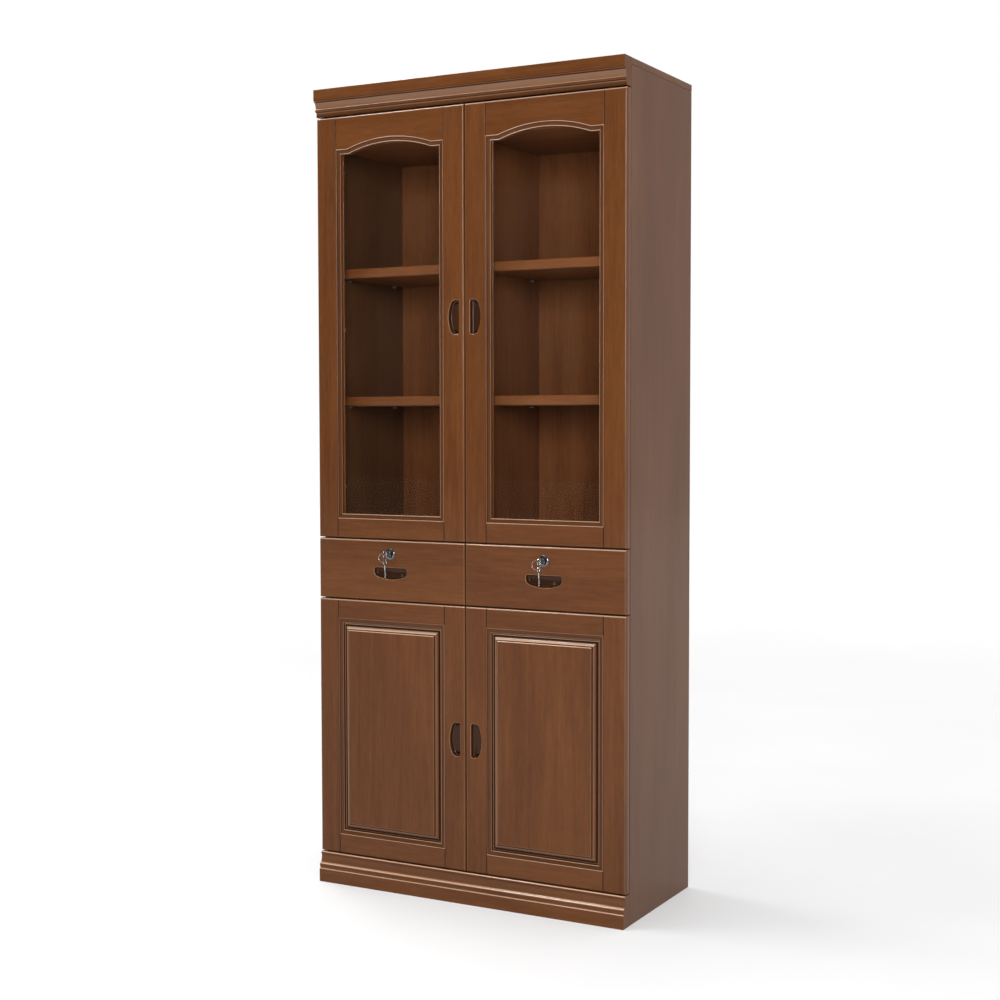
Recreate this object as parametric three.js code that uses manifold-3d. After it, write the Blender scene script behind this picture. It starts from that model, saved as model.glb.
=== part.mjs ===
// China cabinet: two arched glass doors over two locking drawers over two raised-panel doors.
// Millimetres, +Z up. The front faces -Y, the viewer's right is +X, and the origin is on the
// floor under the middle of the overall box, keys included.

import * as THREE from 'three';
import { mergeVertices } from 'three/addons/utils/BufferGeometryUtils.js';
import Module from 'manifold-3d';

// ---- overall sizes
const cabinetWidth = 850;
const cabinetHeight = 2000;
const cabinetDepth = 400;       // cornice fascia to the back edges of the sides
const corniceHeight = 67;
const corniceProud = 13.5;      // fascia in front of the door faces
const baseHeight = 76;
const baseProud = 10;           // plinth in front of the door faces
const plinthHeight = 33;        // flat foot of the base moulding
const fasciaHeight = 27;        // flat head of the cornice moulding

// ---- clearances
const seam = 0.3;               // between pieces that touch
const reveal = 3;               // round every door and drawer front
const standoff = 3;             // door back to carcass front
const shelfPlay = 1;            // each end of a loose shelf
const overrun = 1;              // a cutter or a joined solid past the face it crosses

// ---- facets of round solids
const roundSides = 24;          // cups, bores, locks and rings
const mediumSides = 20;         // plugs and key bows
const smallSides = 12;          // pins
const wireSides = 6;

// ---- boards
const sideThickness = 18;
const dividerThickness = 18;
const deckThickness = 18;
const topThickness = 16;
const shelfThickness = 25;
const railThickness = 18;
const backThickness = 4;
const backInset = 8;            // back panel in from the back edges of the sides
const grooveDepth = 7;
const shelfSetback = 35;        // shelf front behind the carcass front
const ceilingGap = 73;          // underside of the ceiling board below the top of the doors

// ---- fronts
const lowerDoorHeight = 648;
const drawerFrontHeight = 150;
const doorThickness = 22;
const stileWidth = 57;
const railWidth = 47.5;
const topRailWidth = 80;        // arched rail, measured at its shoulders
const stickingWidth = 12.5;     // moulding round the inside of each frame
const archRise = 21;
const archShoulder = 23;        // flat length at each end of the arch
const backEdgeRadius = 3;       // hinge side
const meetingEdgeRadius = 1;
const frontEdgeRadius = 4;

// ---- glass and panels
const glassThickness = 4;
const glassDepth = 10;          // door face to rebate seat
const rebateWidth = 8;
const glassPlay = 1;
const tongueThickness = 6;
const tongueDepth = 9.5;        // door face to the front of the panel tongue
const tongueLength = 8;
const panelPlay = 1.5;
const fieldProud = 2;           // raised field in front of the frame face
const panelSlopeWidth = 19;
const panelMargin = 3;          // sight edge to the foot of the panel's slope

// ---- finger pulls
const pullDepth = 13;
const pullBodyWidth = 19;
const pullBulge = 10.5;
const doorPullLength = 82;
const drawerPullLength = 95;
const doorPullInset = 13.5;     // meeting edge to the straight side
const upperPullRise = 541.5;    // door bottom to the middle of the pull
const lowerPullRise = 322;
const drawerPullDrop = 68;      // drawer front top to the straight side

// ---- drawers
const boxSideThickness = 12;
const boxBackRoom = 32.5;       // box back to back panel
const boxLift = 10;             // box underside above the deck
const boxHeadroom = 17;         // box top below the deck above
const boxBottomThickness = 4;
const boxBottomRaise = 10;
const boxBackDrop = 6;          // back lower than the sides
const slideWidth = 12.7;
const slideHeight = 45;
const slideBackRoom = 44.5;     // slide end to back panel
const slideWall = 1.5;
const slideLip = 4;
const slideReach = 9;
const slideSetback = 5;

// ---- locks and keys
const lockDrop = 34;            // drawer front top to the lock axis
const rosetteRadius = 14;
const rosetteThickness = 3;
const lockHeadRadius = 9;
const lockHeadLength = 8;
const barrelRadius = 9.5;
const barrelLength = 30;        // from the drawer face backwards
const plugRadius = 5.5;
const camThickness = 2.5;
const camHalfWidth = 5.5;
const camReach = 33;
const mortiseDepth = 11;
const mortisePlay = 2.2;
const keyThickness = 2;
const keyBladeHeight = 7;
const keyBladeLength = 19;
const keyBowRadius = 10;
const keyNeck = 2;              // lock head to the bow's edge
const keyHoleRadius = 4.6;
const ringRadius = 11;
const ringWire = 0.8;
const spareBowRadius = 8;
const spareHoleRadius = 3.6;
const spareBladeLength = 30;
const spareBladeWidth = 5;

// ---- concealed hinges: one pivot line stands for the linkage inside each cup
const pivotInset = 10;          // pivot in from the outer side face
const pivotDepth = 11;          // pivot in front of the door back
const cupRadius = 17.5;
const cupDepth = 14.6;
const cupWall = 0.8;
const cupInset = 22.5;          // cup centre in from the door edge
const flangeThickness = 1.3;
const flangeHalfHeight = 26;
const flangeWidth = 11;
const pinRadius = 1.1;
const barrelBore = 1.4;
const barrelOuter = 2.2;
const legHalfHeight = 4;
const legFront = 1;             // leg in front of the pivot line
const legBack = 1.6;            // leg behind the pivot line
const neckNear = 24;            // neck in from the outer side face
const neckFar = 30;
const neckHalfHeight = 7;
const plateThickness = 2.5;
const plateHalfHeight = 25;
const plateLength = 44;
const plateSetback = 15;
const armSetback = 4;           // arm's end in from the back end of its plate
const upperHingeInset = 125;
const lowerHingeInset = 100;

// ---- places that follow from the sizes
const keyReach = rosetteThickness + lockHeadLength + keyNeck + 2 * keyBowRadius;
const face = (keyReach - cabinetDepth + corniceProud) / 2;
const back = face + cabinetDepth - corniceProud;
const doorBack = face + doorThickness;
const carcassFront = doorBack + standoff;
const backPanelFront = back - backInset - backThickness;
const halfWidth = cabinetWidth / 2;
const innerHalf = halfWidth - sideThickness;
const halfDivider = dividerThickness / 2;
const meeting = reveal / 2;
const doorWidth = halfWidth - meeting;
const doorMiddle = meeting + doorWidth / 2;
const sightHalf = doorWidth / 2 - stileWidth - stickingWidth;

const lowerDoorBottom = baseHeight + reveal;
const lowerDoorTop = lowerDoorBottom + lowerDoorHeight;
const drawerBottom = lowerDoorTop + reveal;
const drawerTop = drawerBottom + drawerFrontHeight;
const upperDoorBottom = drawerTop + reveal;
const corniceBottom = cabinetHeight - corniceHeight;
const upperDoorTop = corniceBottom - reveal;
const bottomBoardTop = baseHeight + deckThickness;
const lowerDeckBottom = lowerDoorTop + reveal / 2 - deckThickness / 2;
const lowerDeckTop = lowerDeckBottom + deckThickness;
const upperDeckBottom = drawerTop + reveal / 2 - deckThickness / 2;
const upperDeckTop = upperDeckBottom + deckThickness;
const ceilingBottom = upperDoorTop - ceilingGap;
const ceilingTop = ceilingBottom + deckThickness;
const sideTop = cabinetHeight - topThickness;
const lockHeight = drawerTop - lockDrop;
const bayMiddle = (halfDivider + innerHalf) / 2;
const bayWidth = innerHalf - halfDivider;
const boxBottom = lowerDeckTop + boxLift;
const boxTop = upperDeckBottom - boxHeadroom;
const boxHalf = bayWidth / 2 - slideWidth;
const camFront = face + barrelLength + seam;

// ---- solids
const wasm = await Module();
wasm.setup();

function toSolid(geometry) {
  const bare = geometry.clone();
  bare.deleteAttribute('normal');
  bare.deleteAttribute('uv');
  const merged = mergeVertices(bare, 1e-4);
  return new wasm.Manifold(new wasm.Mesh({
    numProp: 3,
    vertProperties: new Float32Array(merged.attributes.position.array),
    triVerts: new Uint32Array(merged.index.array),
  }));
}

function toGeometry(solid) {
  const mesh = solid.getMesh();
  const geometry = new THREE.BufferGeometry();
  geometry.setAttribute('position', new THREE.BufferAttribute(mesh.vertProperties, 3));
  geometry.setIndex(new THREE.BufferAttribute(mesh.triVerts, 1));
  geometry.computeVertexNormals();
  return geometry;
}

const cut = (body, ...tools) => toGeometry(
  tools.reduce((rest, tool) => rest.subtract(toSolid(tool)), toSolid(body)));

const join = (first, ...others) => toGeometry(
  others.reduce((whole, other) => whole.add(toSolid(other)), toSolid(first)));

// A box between two corners, given in either order along each axis.
function block(a, b) {
  const size = a.map((value, axis) => Math.abs(b[axis] - value));
  const middle = a.map((value, axis) => (b[axis] + value) / 2);
  return new THREE.BoxGeometry(...size).translate(...middle);
}

// An outline in X and Z, given thickness from yFront back to yBack.
function slabAlongY(shape, yFront, yBack, curveSegments = 6) {
  const options = { depth: yBack - yFront, bevelEnabled: false, curveSegments };
  return new THREE.ExtrudeGeometry(shape, options).rotateX(Math.PI / 2).translate(0, yBack, 0);
}

// An outline in Y and Z, carried along X from -half to half.
function runAlongX(shape, half) {
  const options = { depth: 2 * half, bevelEnabled: false, curveSegments: 4 };
  const turn = new THREE.Matrix4().makeBasis(
    new THREE.Vector3(0, 1, 0), new THREE.Vector3(0, 0, 1), new THREE.Vector3(1, 0, 0));
  return new THREE.ExtrudeGeometry(shape, options).applyMatrix4(turn).translate(-half, 0, 0);
}

// An outline in X and Y, raised from zLow to zHigh.
function riseAlongZ(shape, zLow, zHigh, curveSegments = 3) {
  const options = { depth: zHigh - zLow, bevelEnabled: false, curveSegments };
  return new THREE.ExtrudeGeometry(shape, options).translate(0, 0, zLow);
}

// A round bar along Y or Z about a point, with sides flats.
function barAlongY(radius, yFront, yBack, x, z, sides = mediumSides) {
  return new THREE.CylinderGeometry(radius, radius, yBack - yFront, sides)
    .translate(x, (yFront + yBack) / 2, z);
}

function barAlongZ(radius, zLow, zHigh, x, y, sides = smallSides) {
  return new THREE.CylinderGeometry(radius, radius, zHigh - zLow, sides)
    .rotateX(Math.PI / 2)
    .translate(x, y, (zLow + zHigh) / 2);
}

const group = new THREE.Group();
group.name = 'china_cabinet';

function add(name, geometry, colour, roughness, metalness) {
  const material = new THREE.MeshStandardMaterial({ color: colour, roughness, metalness });
  const mesh = new THREE.Mesh(geometry, material);
  mesh.name = name;
  group.add(mesh);
}

const addWood = (name, geometry) => add(name, geometry, 0x784426, 0.45, 0);
const addInside = (name, geometry) => add(name, geometry, 0x4a2e20, 0.55, 0);
const addBright = (name, geometry) => add(name, geometry, 0xc9c9c6, 0.2, 1);
const addZinc = (name, geometry) => add(name, geometry, 0xa3a6a8, 0.35, 1);

const sides = [['left', -1], ['right', 1]];

// ---- carcass: sides, dividers, decks, top, back
for (const [hand, sign] of sides) {
  const board = block(
    [sign * innerHalf, carcassFront, 0],
    [sign * halfWidth, back, sideTop - seam]);
  const groove = block(
    [sign * (innerHalf - seam), backPanelFront - seam, baseHeight],
    [sign * (innerHalf + grooveDepth), back - backInset + seam, cabinetHeight]);
  addWood(`side_panel_${hand}`, cut(board, groove));
}

function level(name, zLow, zHigh) {
  addInside(name, block(
    [-innerHalf + seam, carcassFront, zLow],
    [innerHalf - seam, backPanelFront - seam, zHigh]));
}

function divider(name, zLow, zHigh) {
  addInside(name, block(
    [-halfDivider, carcassFront, zLow + seam],
    [halfDivider, backPanelFront - seam, zHigh - seam]));
}

level('bottom_board', baseHeight + seam, bottomBoardTop);
level('deck_below_drawers', lowerDeckBottom, lowerDeckTop);
level('ceiling_board', ceilingBottom, ceilingTop);
divider('lower_divider', bottomBoardTop, lowerDeckBottom);
divider('drawer_divider', lowerDeckTop, upperDeckBottom);
divider('upper_divider', upperDeckTop, ceilingBottom);

// The deck over the drawers is mortised from below where the lock cams turn up.
const camSwing = Math.sqrt(
  camReach ** 2 + camHalfWidth ** 2 - (upperDeckBottom - lockHeight - seam) ** 2);
const deckBoard = block(
  [-innerHalf + seam, carcassFront, upperDeckBottom],
  [innerHalf - seam, backPanelFront - seam, upperDeckTop]);
const mortises = sides.map(([, sign]) => block(
  [sign * doorMiddle - camSwing - mortisePlay, camFront - mortisePlay, upperDeckBottom - overrun],
  [sign * doorMiddle + camHalfWidth + mortisePlay, camFront + camThickness + mortisePlay,
    upperDeckBottom + mortiseDepth]));
addInside('deck_above_drawers', cut(deckBoard, ...mortises));

addInside('top_rail', block(
  [-innerHalf + seam, carcassFront, ceilingTop + seam],
  [innerHalf - seam, carcassFront + railThickness, sideTop - seam]));
addWood('top_board', block(
  [-halfWidth, carcassFront, sideTop],
  [halfWidth, back, cabinetHeight]));
addInside('back_panel', block(
  [-innerHalf - grooveDepth + seam * 2, backPanelFront, baseHeight + seam],
  [innerHalf + grooveDepth - seam * 2, back - backInset, sideTop - seam]));

// ---- mouldings: cornice over the doors and base under them, both flush with the side faces
const mouldingBack = carcassFront - seam;

// A run of straight and curved steps, each a distance in front of the door faces and a height.
// Two numbers more give the point that a curved step bends towards.
function moulding(start, steps) {
  const shape = new THREE.Shape();
  shape.moveTo(face - start[0], start[1]);
  for (const [proud, height, bendProud, bendHeight] of steps) {
    if (bendProud === undefined) {
      shape.lineTo(face - proud, height);
    } else {
      shape.quadraticCurveTo(face - bendProud, bendHeight, face - proud, height);
    }
  }
  return runAlongX(shape, halfWidth);
}

const mouldingDepth = face - mouldingBack;
const fasciaBottom = cabinetHeight - fasciaHeight;
addWood('cornice_moulding', moulding([mouldingDepth, corniceBottom], [
  [mouldingDepth, cabinetHeight],
  [corniceProud, cabinetHeight],
  [corniceProud, fasciaBottom],
  [corniceProud - 2.5, fasciaBottom - 2],
  [3, fasciaBottom - 20, 4, fasciaBottom - 4],
  [5, fasciaBottom - 22],
  [4, fasciaBottom - 28, 6.5, fasciaBottom - 25],
  [0, fasciaBottom - 30],
  [0, corniceBottom],
]));
addWood('base_moulding', moulding([mouldingDepth, 0], [
  [mouldingDepth, baseHeight],
  [-1, baseHeight],
  [2, baseHeight - 5, 2, baseHeight - 1],
  [-0.5, baseHeight - 8],
  [6, plinthHeight + 14, 0.5, plinthHeight + 17],
  [8, plinthHeight + 7, 9, plinthHeight + 12],
  [7, plinthHeight + 1],
  [baseProud, plinthHeight],
  [baseProud, 0],
]));

// ---- loose shelves: two in each upper bay, one in each lower bay
function shelf(name, sign, underside) {
  addInside(name, block(
    [sign * (halfDivider + shelfPlay), carcassFront + shelfSetback, underside],
    [sign * (innerHalf - shelfPlay), backPanelFront - seam, underside + shelfThickness]));
}

const upperPitch = (ceilingBottom - upperDeckTop) / 3;
for (const [hand, sign] of sides) {
  shelf(`upper_shelf_${hand}_low`, sign, upperDeckTop + upperPitch);
  shelf(`upper_shelf_${hand}_high`, sign, upperDeckTop + 2 * upperPitch);
  shelf(`lower_shelf_${hand}`, sign, (bottomBoardTop + lowerDeckBottom) / 2);
}

// ---- fronts: a blank with rounded edges, then openings, recesses and bores
// A rectangle in X and Y with a radius at each corner, anticlockwise from the lowest X and Y.
function roundedPlan(xLow, xHigh, yLow, yHigh, radii) {
  const cornerSteps = 3;
  const corners = [[xLow, yLow], [xHigh, yLow], [xHigh, yHigh], [xLow, yHigh]];
  const inward = [[1, 1], [-1, 1], [-1, -1], [1, -1]];
  const points = [];
  corners.forEach(([x, y], index) => {
    const radius = radii[index];
    const centre = [x + inward[index][0] * radius, y + inward[index][1] * radius];
    for (let step = 0; step <= cornerSteps; step += 1) {
      const angle = Math.PI * (1 + (index + step / cornerSteps) / 2);
      points.push(new THREE.Vector2(
        centre[0] + radius * Math.cos(angle),
        centre[1] + radius * Math.sin(angle)));
    }
  });
  return new THREE.Shape(points);
}

function frontBlank(sign, low, high) {
  if (sign > 0) {
    const radii = [frontEdgeRadius, frontEdgeRadius, backEdgeRadius, meetingEdgeRadius];
    return riseAlongZ(roundedPlan(meeting, halfWidth, face, doorBack, radii), low, high);
  }
  const radii = [frontEdgeRadius, frontEdgeRadius, meetingEdgeRadius, backEdgeRadius];
  return riseAlongZ(roundedPlan(-halfWidth, -meeting, face, doorBack, radii), low, high);
}

// A finger pull is a rectangle with one long side bowed out in an arc. place turns a distance
// along the pull and a distance across it into X and Z.
function pullRecess(length, place) {
  const arcSteps = 8;
  const half = length / 2;
  const radius = (half ** 2 + pullBulge ** 2) / (2 * pullBulge);
  const sweep = Math.asin(half / radius);
  const points = [place(half, 0)];
  for (let step = 0; step <= arcSteps; step += 1) {
    const angle = sweep * (1 - 2 * step / arcSteps);
    const across = pullBodyWidth + pullBulge - radius * (1 - Math.cos(angle));
    points.push(place(radius * Math.sin(angle), across));
  }
  points.push(place(-half, 0));
  const shape = new THREE.Shape(points.map(([x, z]) => new THREE.Vector2(x, z)));
  return slabAlongY(shape, face - overrun, face + pullDepth);
}

const doorPull = (sign, height) => pullRecess(doorPullLength, (along, across) => [
  sign * (meeting + doorPullInset + across), height + along]);

const cupBore = (sign, height) => barAlongY(
  cupRadius + seam, doorBack - cupDepth - seam, doorBack + overrun,
  sign * (halfWidth - cupInset), height, roundSides);

// The sight opening of an upper door, square at the foot and arched between two shoulders at
// the head, grown by grow on every side.
function archedSight(sign, grow) {
  const middle = sign * doorMiddle;
  const half = sightHalf + grow;
  const low = upperDoorBottom + railWidth + stickingWidth - grow;
  const shoulder = upperDoorTop - topRailWidth - stickingWidth;
  const chord = sightHalf - archShoulder;
  const radius = (chord ** 2 + archRise ** 2) / (2 * archRise);
  const centre = shoulder + archRise - radius;
  const sweep = Math.acos((shoulder + grow - centre) / (radius + grow));
  const shape = new THREE.Shape();
  shape.moveTo(middle - half, low);
  shape.lineTo(middle + half, low);
  shape.lineTo(middle + half, shoulder + grow);
  shape.absarc(middle, centre, radius + grow, Math.PI / 2 - sweep, Math.PI / 2 + sweep);
  shape.lineTo(middle - half, shoulder + grow);
  return shape;
}

const upperHinges = [upperDoorBottom + upperHingeInset, upperDoorTop - upperHingeInset];
const lowerHinges = [lowerDoorBottom + lowerHingeInset, lowerDoorTop - lowerHingeInset];
const seat = face + glassDepth;

for (const [hand, sign] of sides) {
  addWood(`upper_door_frame_${hand}`, cut(
    frontBlank(sign, upperDoorBottom, upperDoorTop),
    slabAlongY(archedSight(sign, 0), face - overrun, doorBack + overrun),
    slabAlongY(archedSight(sign, rebateWidth), seat, doorBack + overrun),
    doorPull(sign, upperDoorBottom + upperPullRise),
    ...upperHinges.map((height) => cupBore(sign, height))));
  add(`upper_door_glass_${hand}`,
    slabAlongY(archedSight(sign, rebateWidth - glassPlay), seat + seam, seat + seam + glassThickness),
    0xcfd8d4, 0.05, 0);
}

// ---- lower doors: frame grooved all round for a loose raised panel
function lowerSight(sign, grow, yFront, yBack) {
  const half = sightHalf + grow;
  const inset = railWidth + stickingWidth - grow;
  return block(
    [sign * doorMiddle - half, yFront, lowerDoorBottom + inset],
    [sign * doorMiddle + half, yBack, lowerDoorTop - inset]);
}

// A block whose front face is smaller than its back by slope on every side.
function raisedField(sign, grow, slope, yFront, yBack) {
  const geometry = lowerSight(sign, grow, yFront, yBack);
  const position = geometry.attributes.position;
  const middle = [sign * doorMiddle, (lowerDoorBottom + lowerDoorTop) / 2];
  for (let index = 0; index < position.count; index += 1) {
    if (position.getY(index) < (yFront + yBack) / 2) {
      const x = position.getX(index);
      const z = position.getZ(index);
      position.setX(index, x - slope * Math.sign(x - middle[0]));
      position.setZ(index, z - slope * Math.sign(z - middle[1]));
    }
  }
  return geometry;
}

const grooveFront = face + tongueDepth;
const tongueBack = grooveFront + seam + tongueThickness;
for (const [hand, sign] of sides) {
  addWood(`lower_door_frame_${hand}`, cut(
    frontBlank(sign, lowerDoorBottom, lowerDoorTop),
    lowerSight(sign, 0, face - overrun, doorBack + overrun),
    lowerSight(sign, tongueLength + panelPlay, grooveFront, tongueBack + seam),
    doorPull(sign, lowerDoorBottom + lowerPullRise),
    ...lowerHinges.map((height) => cupBore(sign, height))));
  addWood(`lower_door_panel_${hand}`, join(
    lowerSight(sign, tongueLength, grooveFront + seam, tongueBack),
    raisedField(sign, -panelMargin, panelSlopeWidth, face - fieldProud, grooveFront + overrun)));
}

// ---- drawers: a front with a pull and a lock, and a box of two sides, back and bottom
for (const [hand, sign] of sides) {
  const pull = pullRecess(drawerPullLength, (along, across) => [
    sign * doorMiddle + along, drawerTop - drawerPullDrop - across]);
  const lockBore = barAlongY(
    barrelRadius + seam, face - overrun, doorBack + overrun, sign * doorMiddle, lockHeight, roundSides);
  addWood(`drawer_front_${hand}`, cut(frontBlank(sign, drawerBottom, drawerTop), pull, lockBore));

  const middle = sign * bayMiddle;
  const boxFront = doorBack + seam;
  const boxBack = backPanelFront - boxBackRoom;
  const bite = 1;
  const innerWall = boxHalf - boxSideThickness + bite;
  const boxFloor = boxBottom + boxBottomRaise;
  const boxSides = [-1, 1].map((end) => block(
    [middle + end * boxHalf, boxFront, boxBottom],
    [middle + end * (boxHalf - boxSideThickness), boxBack, boxTop]));
  const boxBase = block(
    [middle - innerWall, boxFront, boxFloor],
    [middle + innerWall, boxBack, boxFloor + boxBottomThickness]);
  const boxEnd = block(
    [middle - innerWall, boxBack - boxSideThickness, boxFloor + bite],
    [middle + innerWall, boxBack, boxTop - boxBackDrop]);
  addInside(`drawer_box_${hand}`, join(...boxSides, boxBase, boxEnd));
}

// ---- drawer slides: the channels fixed to the sides and the divider
function slideChannel(name, wall, inwards) {
  const high = slideHeight / 2;
  const outline = [
    [seam, -high], [slideReach, -high], [slideReach, slideLip - high],
    [slideReach - slideWall, slideLip - high], [slideReach - slideWall, slideWall - high],
    [seam + slideWall, slideWall - high],
  ];
  const mirrored = outline.map(([reach, rise]) => [reach, -rise]).reverse();
  const middle = (boxBottom + boxTop) / 2;
  const points = [...outline, ...mirrored].map(([reach, rise]) => new THREE.Vector2(
    wall + inwards * reach, middle + rise));
  const front = carcassFront + slideSetback;
  addZinc(name, slabAlongY(new THREE.Shape(points), front, backPanelFront - slideBackRoom));
}

for (const [hand, sign] of sides) {
  slideChannel(`slide_channel_${hand}_outer`, sign * innerHalf, -sign);
  slideChannel(`slide_channel_${hand}_inner`, sign * halfDivider, sign);
}

// ---- locks: body in the drawer front, plug with its cam, key, and ring with the spare key
const headFront = face - rosetteThickness - lockHeadLength;
const bowMiddle = headFront - keyNeck - keyBowRadius;
const camTurn = 2.5;            // cam root past the lock axis
const swing = Math.SQRT1_2;     // the ring hangs at 45 degrees through the key's bow

function turnedTube(x, z, bore, steps) {
  const profile = [[bore, steps[0][1]], ...steps, [bore, steps[steps.length - 1][1]]];
  profile.push(profile[0]);
  const points = profile.map(([radius, y]) => new THREE.Vector2(radius, y));
  return new THREE.LatheGeometry(points, roundSides).translate(x, 0, z);
}

// A round plate facing along X, with a hole, for the bow of a key.
function keyBow(radius, hole, x, y, z, thickness) {
  const turn = (geometry) => geometry.rotateZ(Math.PI / 2).translate(x, y, z);
  const plate = turn(new THREE.CylinderGeometry(radius, radius, thickness, mediumSides));
  const eye = turn(new THREE.CylinderGeometry(hole, hole, thickness + 2 * overrun, mediumSides));
  return cut(plate, eye);
}

for (const [hand, sign] of sides) {
  const x = sign * doorMiddle;
  const z = lockHeight;
  addBright(`lock_body_${hand}`, turnedTube(x, z, plugRadius + seam, [
    [lockHeadRadius, headFront], [lockHeadRadius, face - rosetteThickness],
    [rosetteRadius, face - rosetteThickness], [rosetteRadius, face - seam],
    [barrelRadius, face - seam], [barrelRadius, face + barrelLength],
  ]));

  const keyway = block(
    [x - keyThickness / 2 - seam, headFront - overrun, z - keyBladeHeight / 2 - seam],
    [x + keyThickness / 2 + seam, headFront + keyBladeLength + seam, z + keyBladeHeight / 2 + seam]);
  const plug = join(
    barAlongY(plugRadius, headFront, camFront + camThickness, x, z),
    block(
      [x - camReach, camFront, z - camHalfWidth],
      [x + camTurn, camFront + camThickness, z + camHalfWidth]));
  addZinc(`lock_plug_with_cam_${hand}`, cut(plug, keyway));

  addBright(`key_${hand}`, join(
    keyBow(keyBowRadius, keyHoleRadius, x, bowMiddle, z, keyThickness),
    block(
      [x - keyThickness / 2, bowMiddle + keyBowRadius - overrun, z - keyBladeHeight / 2],
      [x + keyThickness / 2, headFront + keyBladeLength, z + keyBladeHeight / 2])));

  const ringMiddle = [x - ringRadius * swing, z - ringRadius * swing];
  const ringCrossing = z - 2 * ringRadius * swing;
  const spareMiddle = ringCrossing + ringWire - seam - spareHoleRadius;
  const ring = new THREE.TorusGeometry(ringRadius, ringWire, wireSides, roundSides)
    .rotateX(Math.PI / 2)
    .translate(ringMiddle[0], bowMiddle, ringMiddle[1]);
  const spareBlade = block(
    [x - keyThickness / 2, bowMiddle - spareBladeWidth / 2, spareMiddle - spareBowRadius + overrun],
    [x + keyThickness / 2, bowMiddle + spareBladeWidth / 2,
      spareMiddle - spareBowRadius - spareBladeLength]);
  addBright(`key_ring_with_spare_${hand}`, join(
    ring,
    keyBow(spareBowRadius, spareHoleRadius, x, bowMiddle, spareMiddle, keyThickness),
    spareBlade));
}

// ---- hinges: a cup with a pin in each door, and an arm from the side panel to the pin
const pivotBack = doorBack - pivotDepth;

function hingeCup(sign, height) {
  const middle = sign * (halfWidth - cupInset);
  const pivot = sign * (halfWidth - pivotInset);
  const bottom = doorBack - cupDepth;
  const top = doorBack + flangeThickness;
  const outer = barAlongY(cupRadius, bottom, top, middle, height, roundSides);
  const hollow = barAlongY(
    cupRadius - cupWall, bottom + cupWall, top + overrun, middle, height, roundSides);
  const flange = block(
    [middle - flangeWidth / 2, doorBack + seam, height - flangeHalfHeight],
    [middle + flangeWidth / 2, doorBack + flangeThickness, height + flangeHalfHeight]);
  const reach = cupInset - pivotInset + pinRadius;
  const chord = Math.sqrt(cupRadius ** 2 - reach ** 2) - cupWall / 2;
  const pin = barAlongZ(pinRadius, height - chord, height + chord, pivot, pivotBack);
  return join(cut(join(outer, flange), hollow), pin);
}

function hingeArm(sign, height) {
  const at = (inset) => sign * (halfWidth - inset);
  const plateFront = carcassFront + plateSetback;
  const plate = block(
    [at(sideThickness + seam), plateFront, height - plateHalfHeight],
    [at(sideThickness + plateThickness), plateFront + plateLength, height + plateHalfHeight]);
  const body = block(
    [at(sideThickness + seam), plateFront - seam, height - neckHalfHeight],
    [at(neckFar), plateFront + plateLength - armSetback, height + neckHalfHeight]);
  const neck = block(
    [at(neckNear), pivotBack - legFront, height - neckHalfHeight],
    [at(neckFar), plateFront + overrun, height + neckHalfHeight]);
  const leg = block(
    [at(pivotInset), pivotBack - legFront, height - legHalfHeight],
    [at(neckFar), pivotBack + legBack, height + legHalfHeight]);
  const barrel = barAlongZ(
    barrelOuter, height - legHalfHeight, height + legHalfHeight, at(pivotInset), pivotBack);
  const bore = barAlongZ(
    barrelBore, height - legHalfHeight - overrun, height + legHalfHeight + overrun,
    at(pivotInset), pivotBack);
  return cut(join(plate, body, neck, leg, barrel), bore);
}

for (const [hand, sign] of sides) {
  const places = [['upper', upperHinges], ['lower', lowerHinges]];
  for (const [door, heights] of places) {
    heights.forEach((height, index) => {
      const end = ['bottom', 'top'][index];
      addZinc(`hinge_cup_${door}_${hand}_${end}`, hingeCup(sign, height));
      addZinc(`hinge_arm_${door}_${hand}_${end}`, hingeArm(sign, height));
    });
  }
}

export default group;
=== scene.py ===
import bmesh
import bpy
import numpy as np
from mathutils import Matrix, Vector
from mathutils.geometry import tessellate_polygon


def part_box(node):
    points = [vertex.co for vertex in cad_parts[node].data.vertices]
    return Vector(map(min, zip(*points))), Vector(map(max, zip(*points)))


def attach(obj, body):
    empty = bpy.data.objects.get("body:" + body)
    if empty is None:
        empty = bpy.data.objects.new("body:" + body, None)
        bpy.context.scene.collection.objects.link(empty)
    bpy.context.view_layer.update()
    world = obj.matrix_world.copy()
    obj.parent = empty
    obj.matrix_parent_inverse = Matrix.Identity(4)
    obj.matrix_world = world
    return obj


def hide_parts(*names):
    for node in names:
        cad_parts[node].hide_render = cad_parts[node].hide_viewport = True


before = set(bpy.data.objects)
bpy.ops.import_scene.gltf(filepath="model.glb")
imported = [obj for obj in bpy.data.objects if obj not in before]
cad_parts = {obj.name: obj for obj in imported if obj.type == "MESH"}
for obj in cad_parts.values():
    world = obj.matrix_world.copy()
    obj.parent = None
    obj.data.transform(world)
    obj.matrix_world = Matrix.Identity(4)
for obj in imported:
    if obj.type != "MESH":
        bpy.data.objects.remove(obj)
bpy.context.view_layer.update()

# ---- Camera, lamps and floor
# The cabinet stands on a plain pale floor, under a large soft ceiling lamp and a bright strip that
# draws the highlights on its mouldings. A third lamp lights the front and the shelves.
scene = bpy.context.scene
scene.view_settings.view_transform = "Standard"


def place(obj):
    """Puts an object into the scene and gives it back."""
    scene.collection.objects.link(obj)
    return obj


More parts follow.
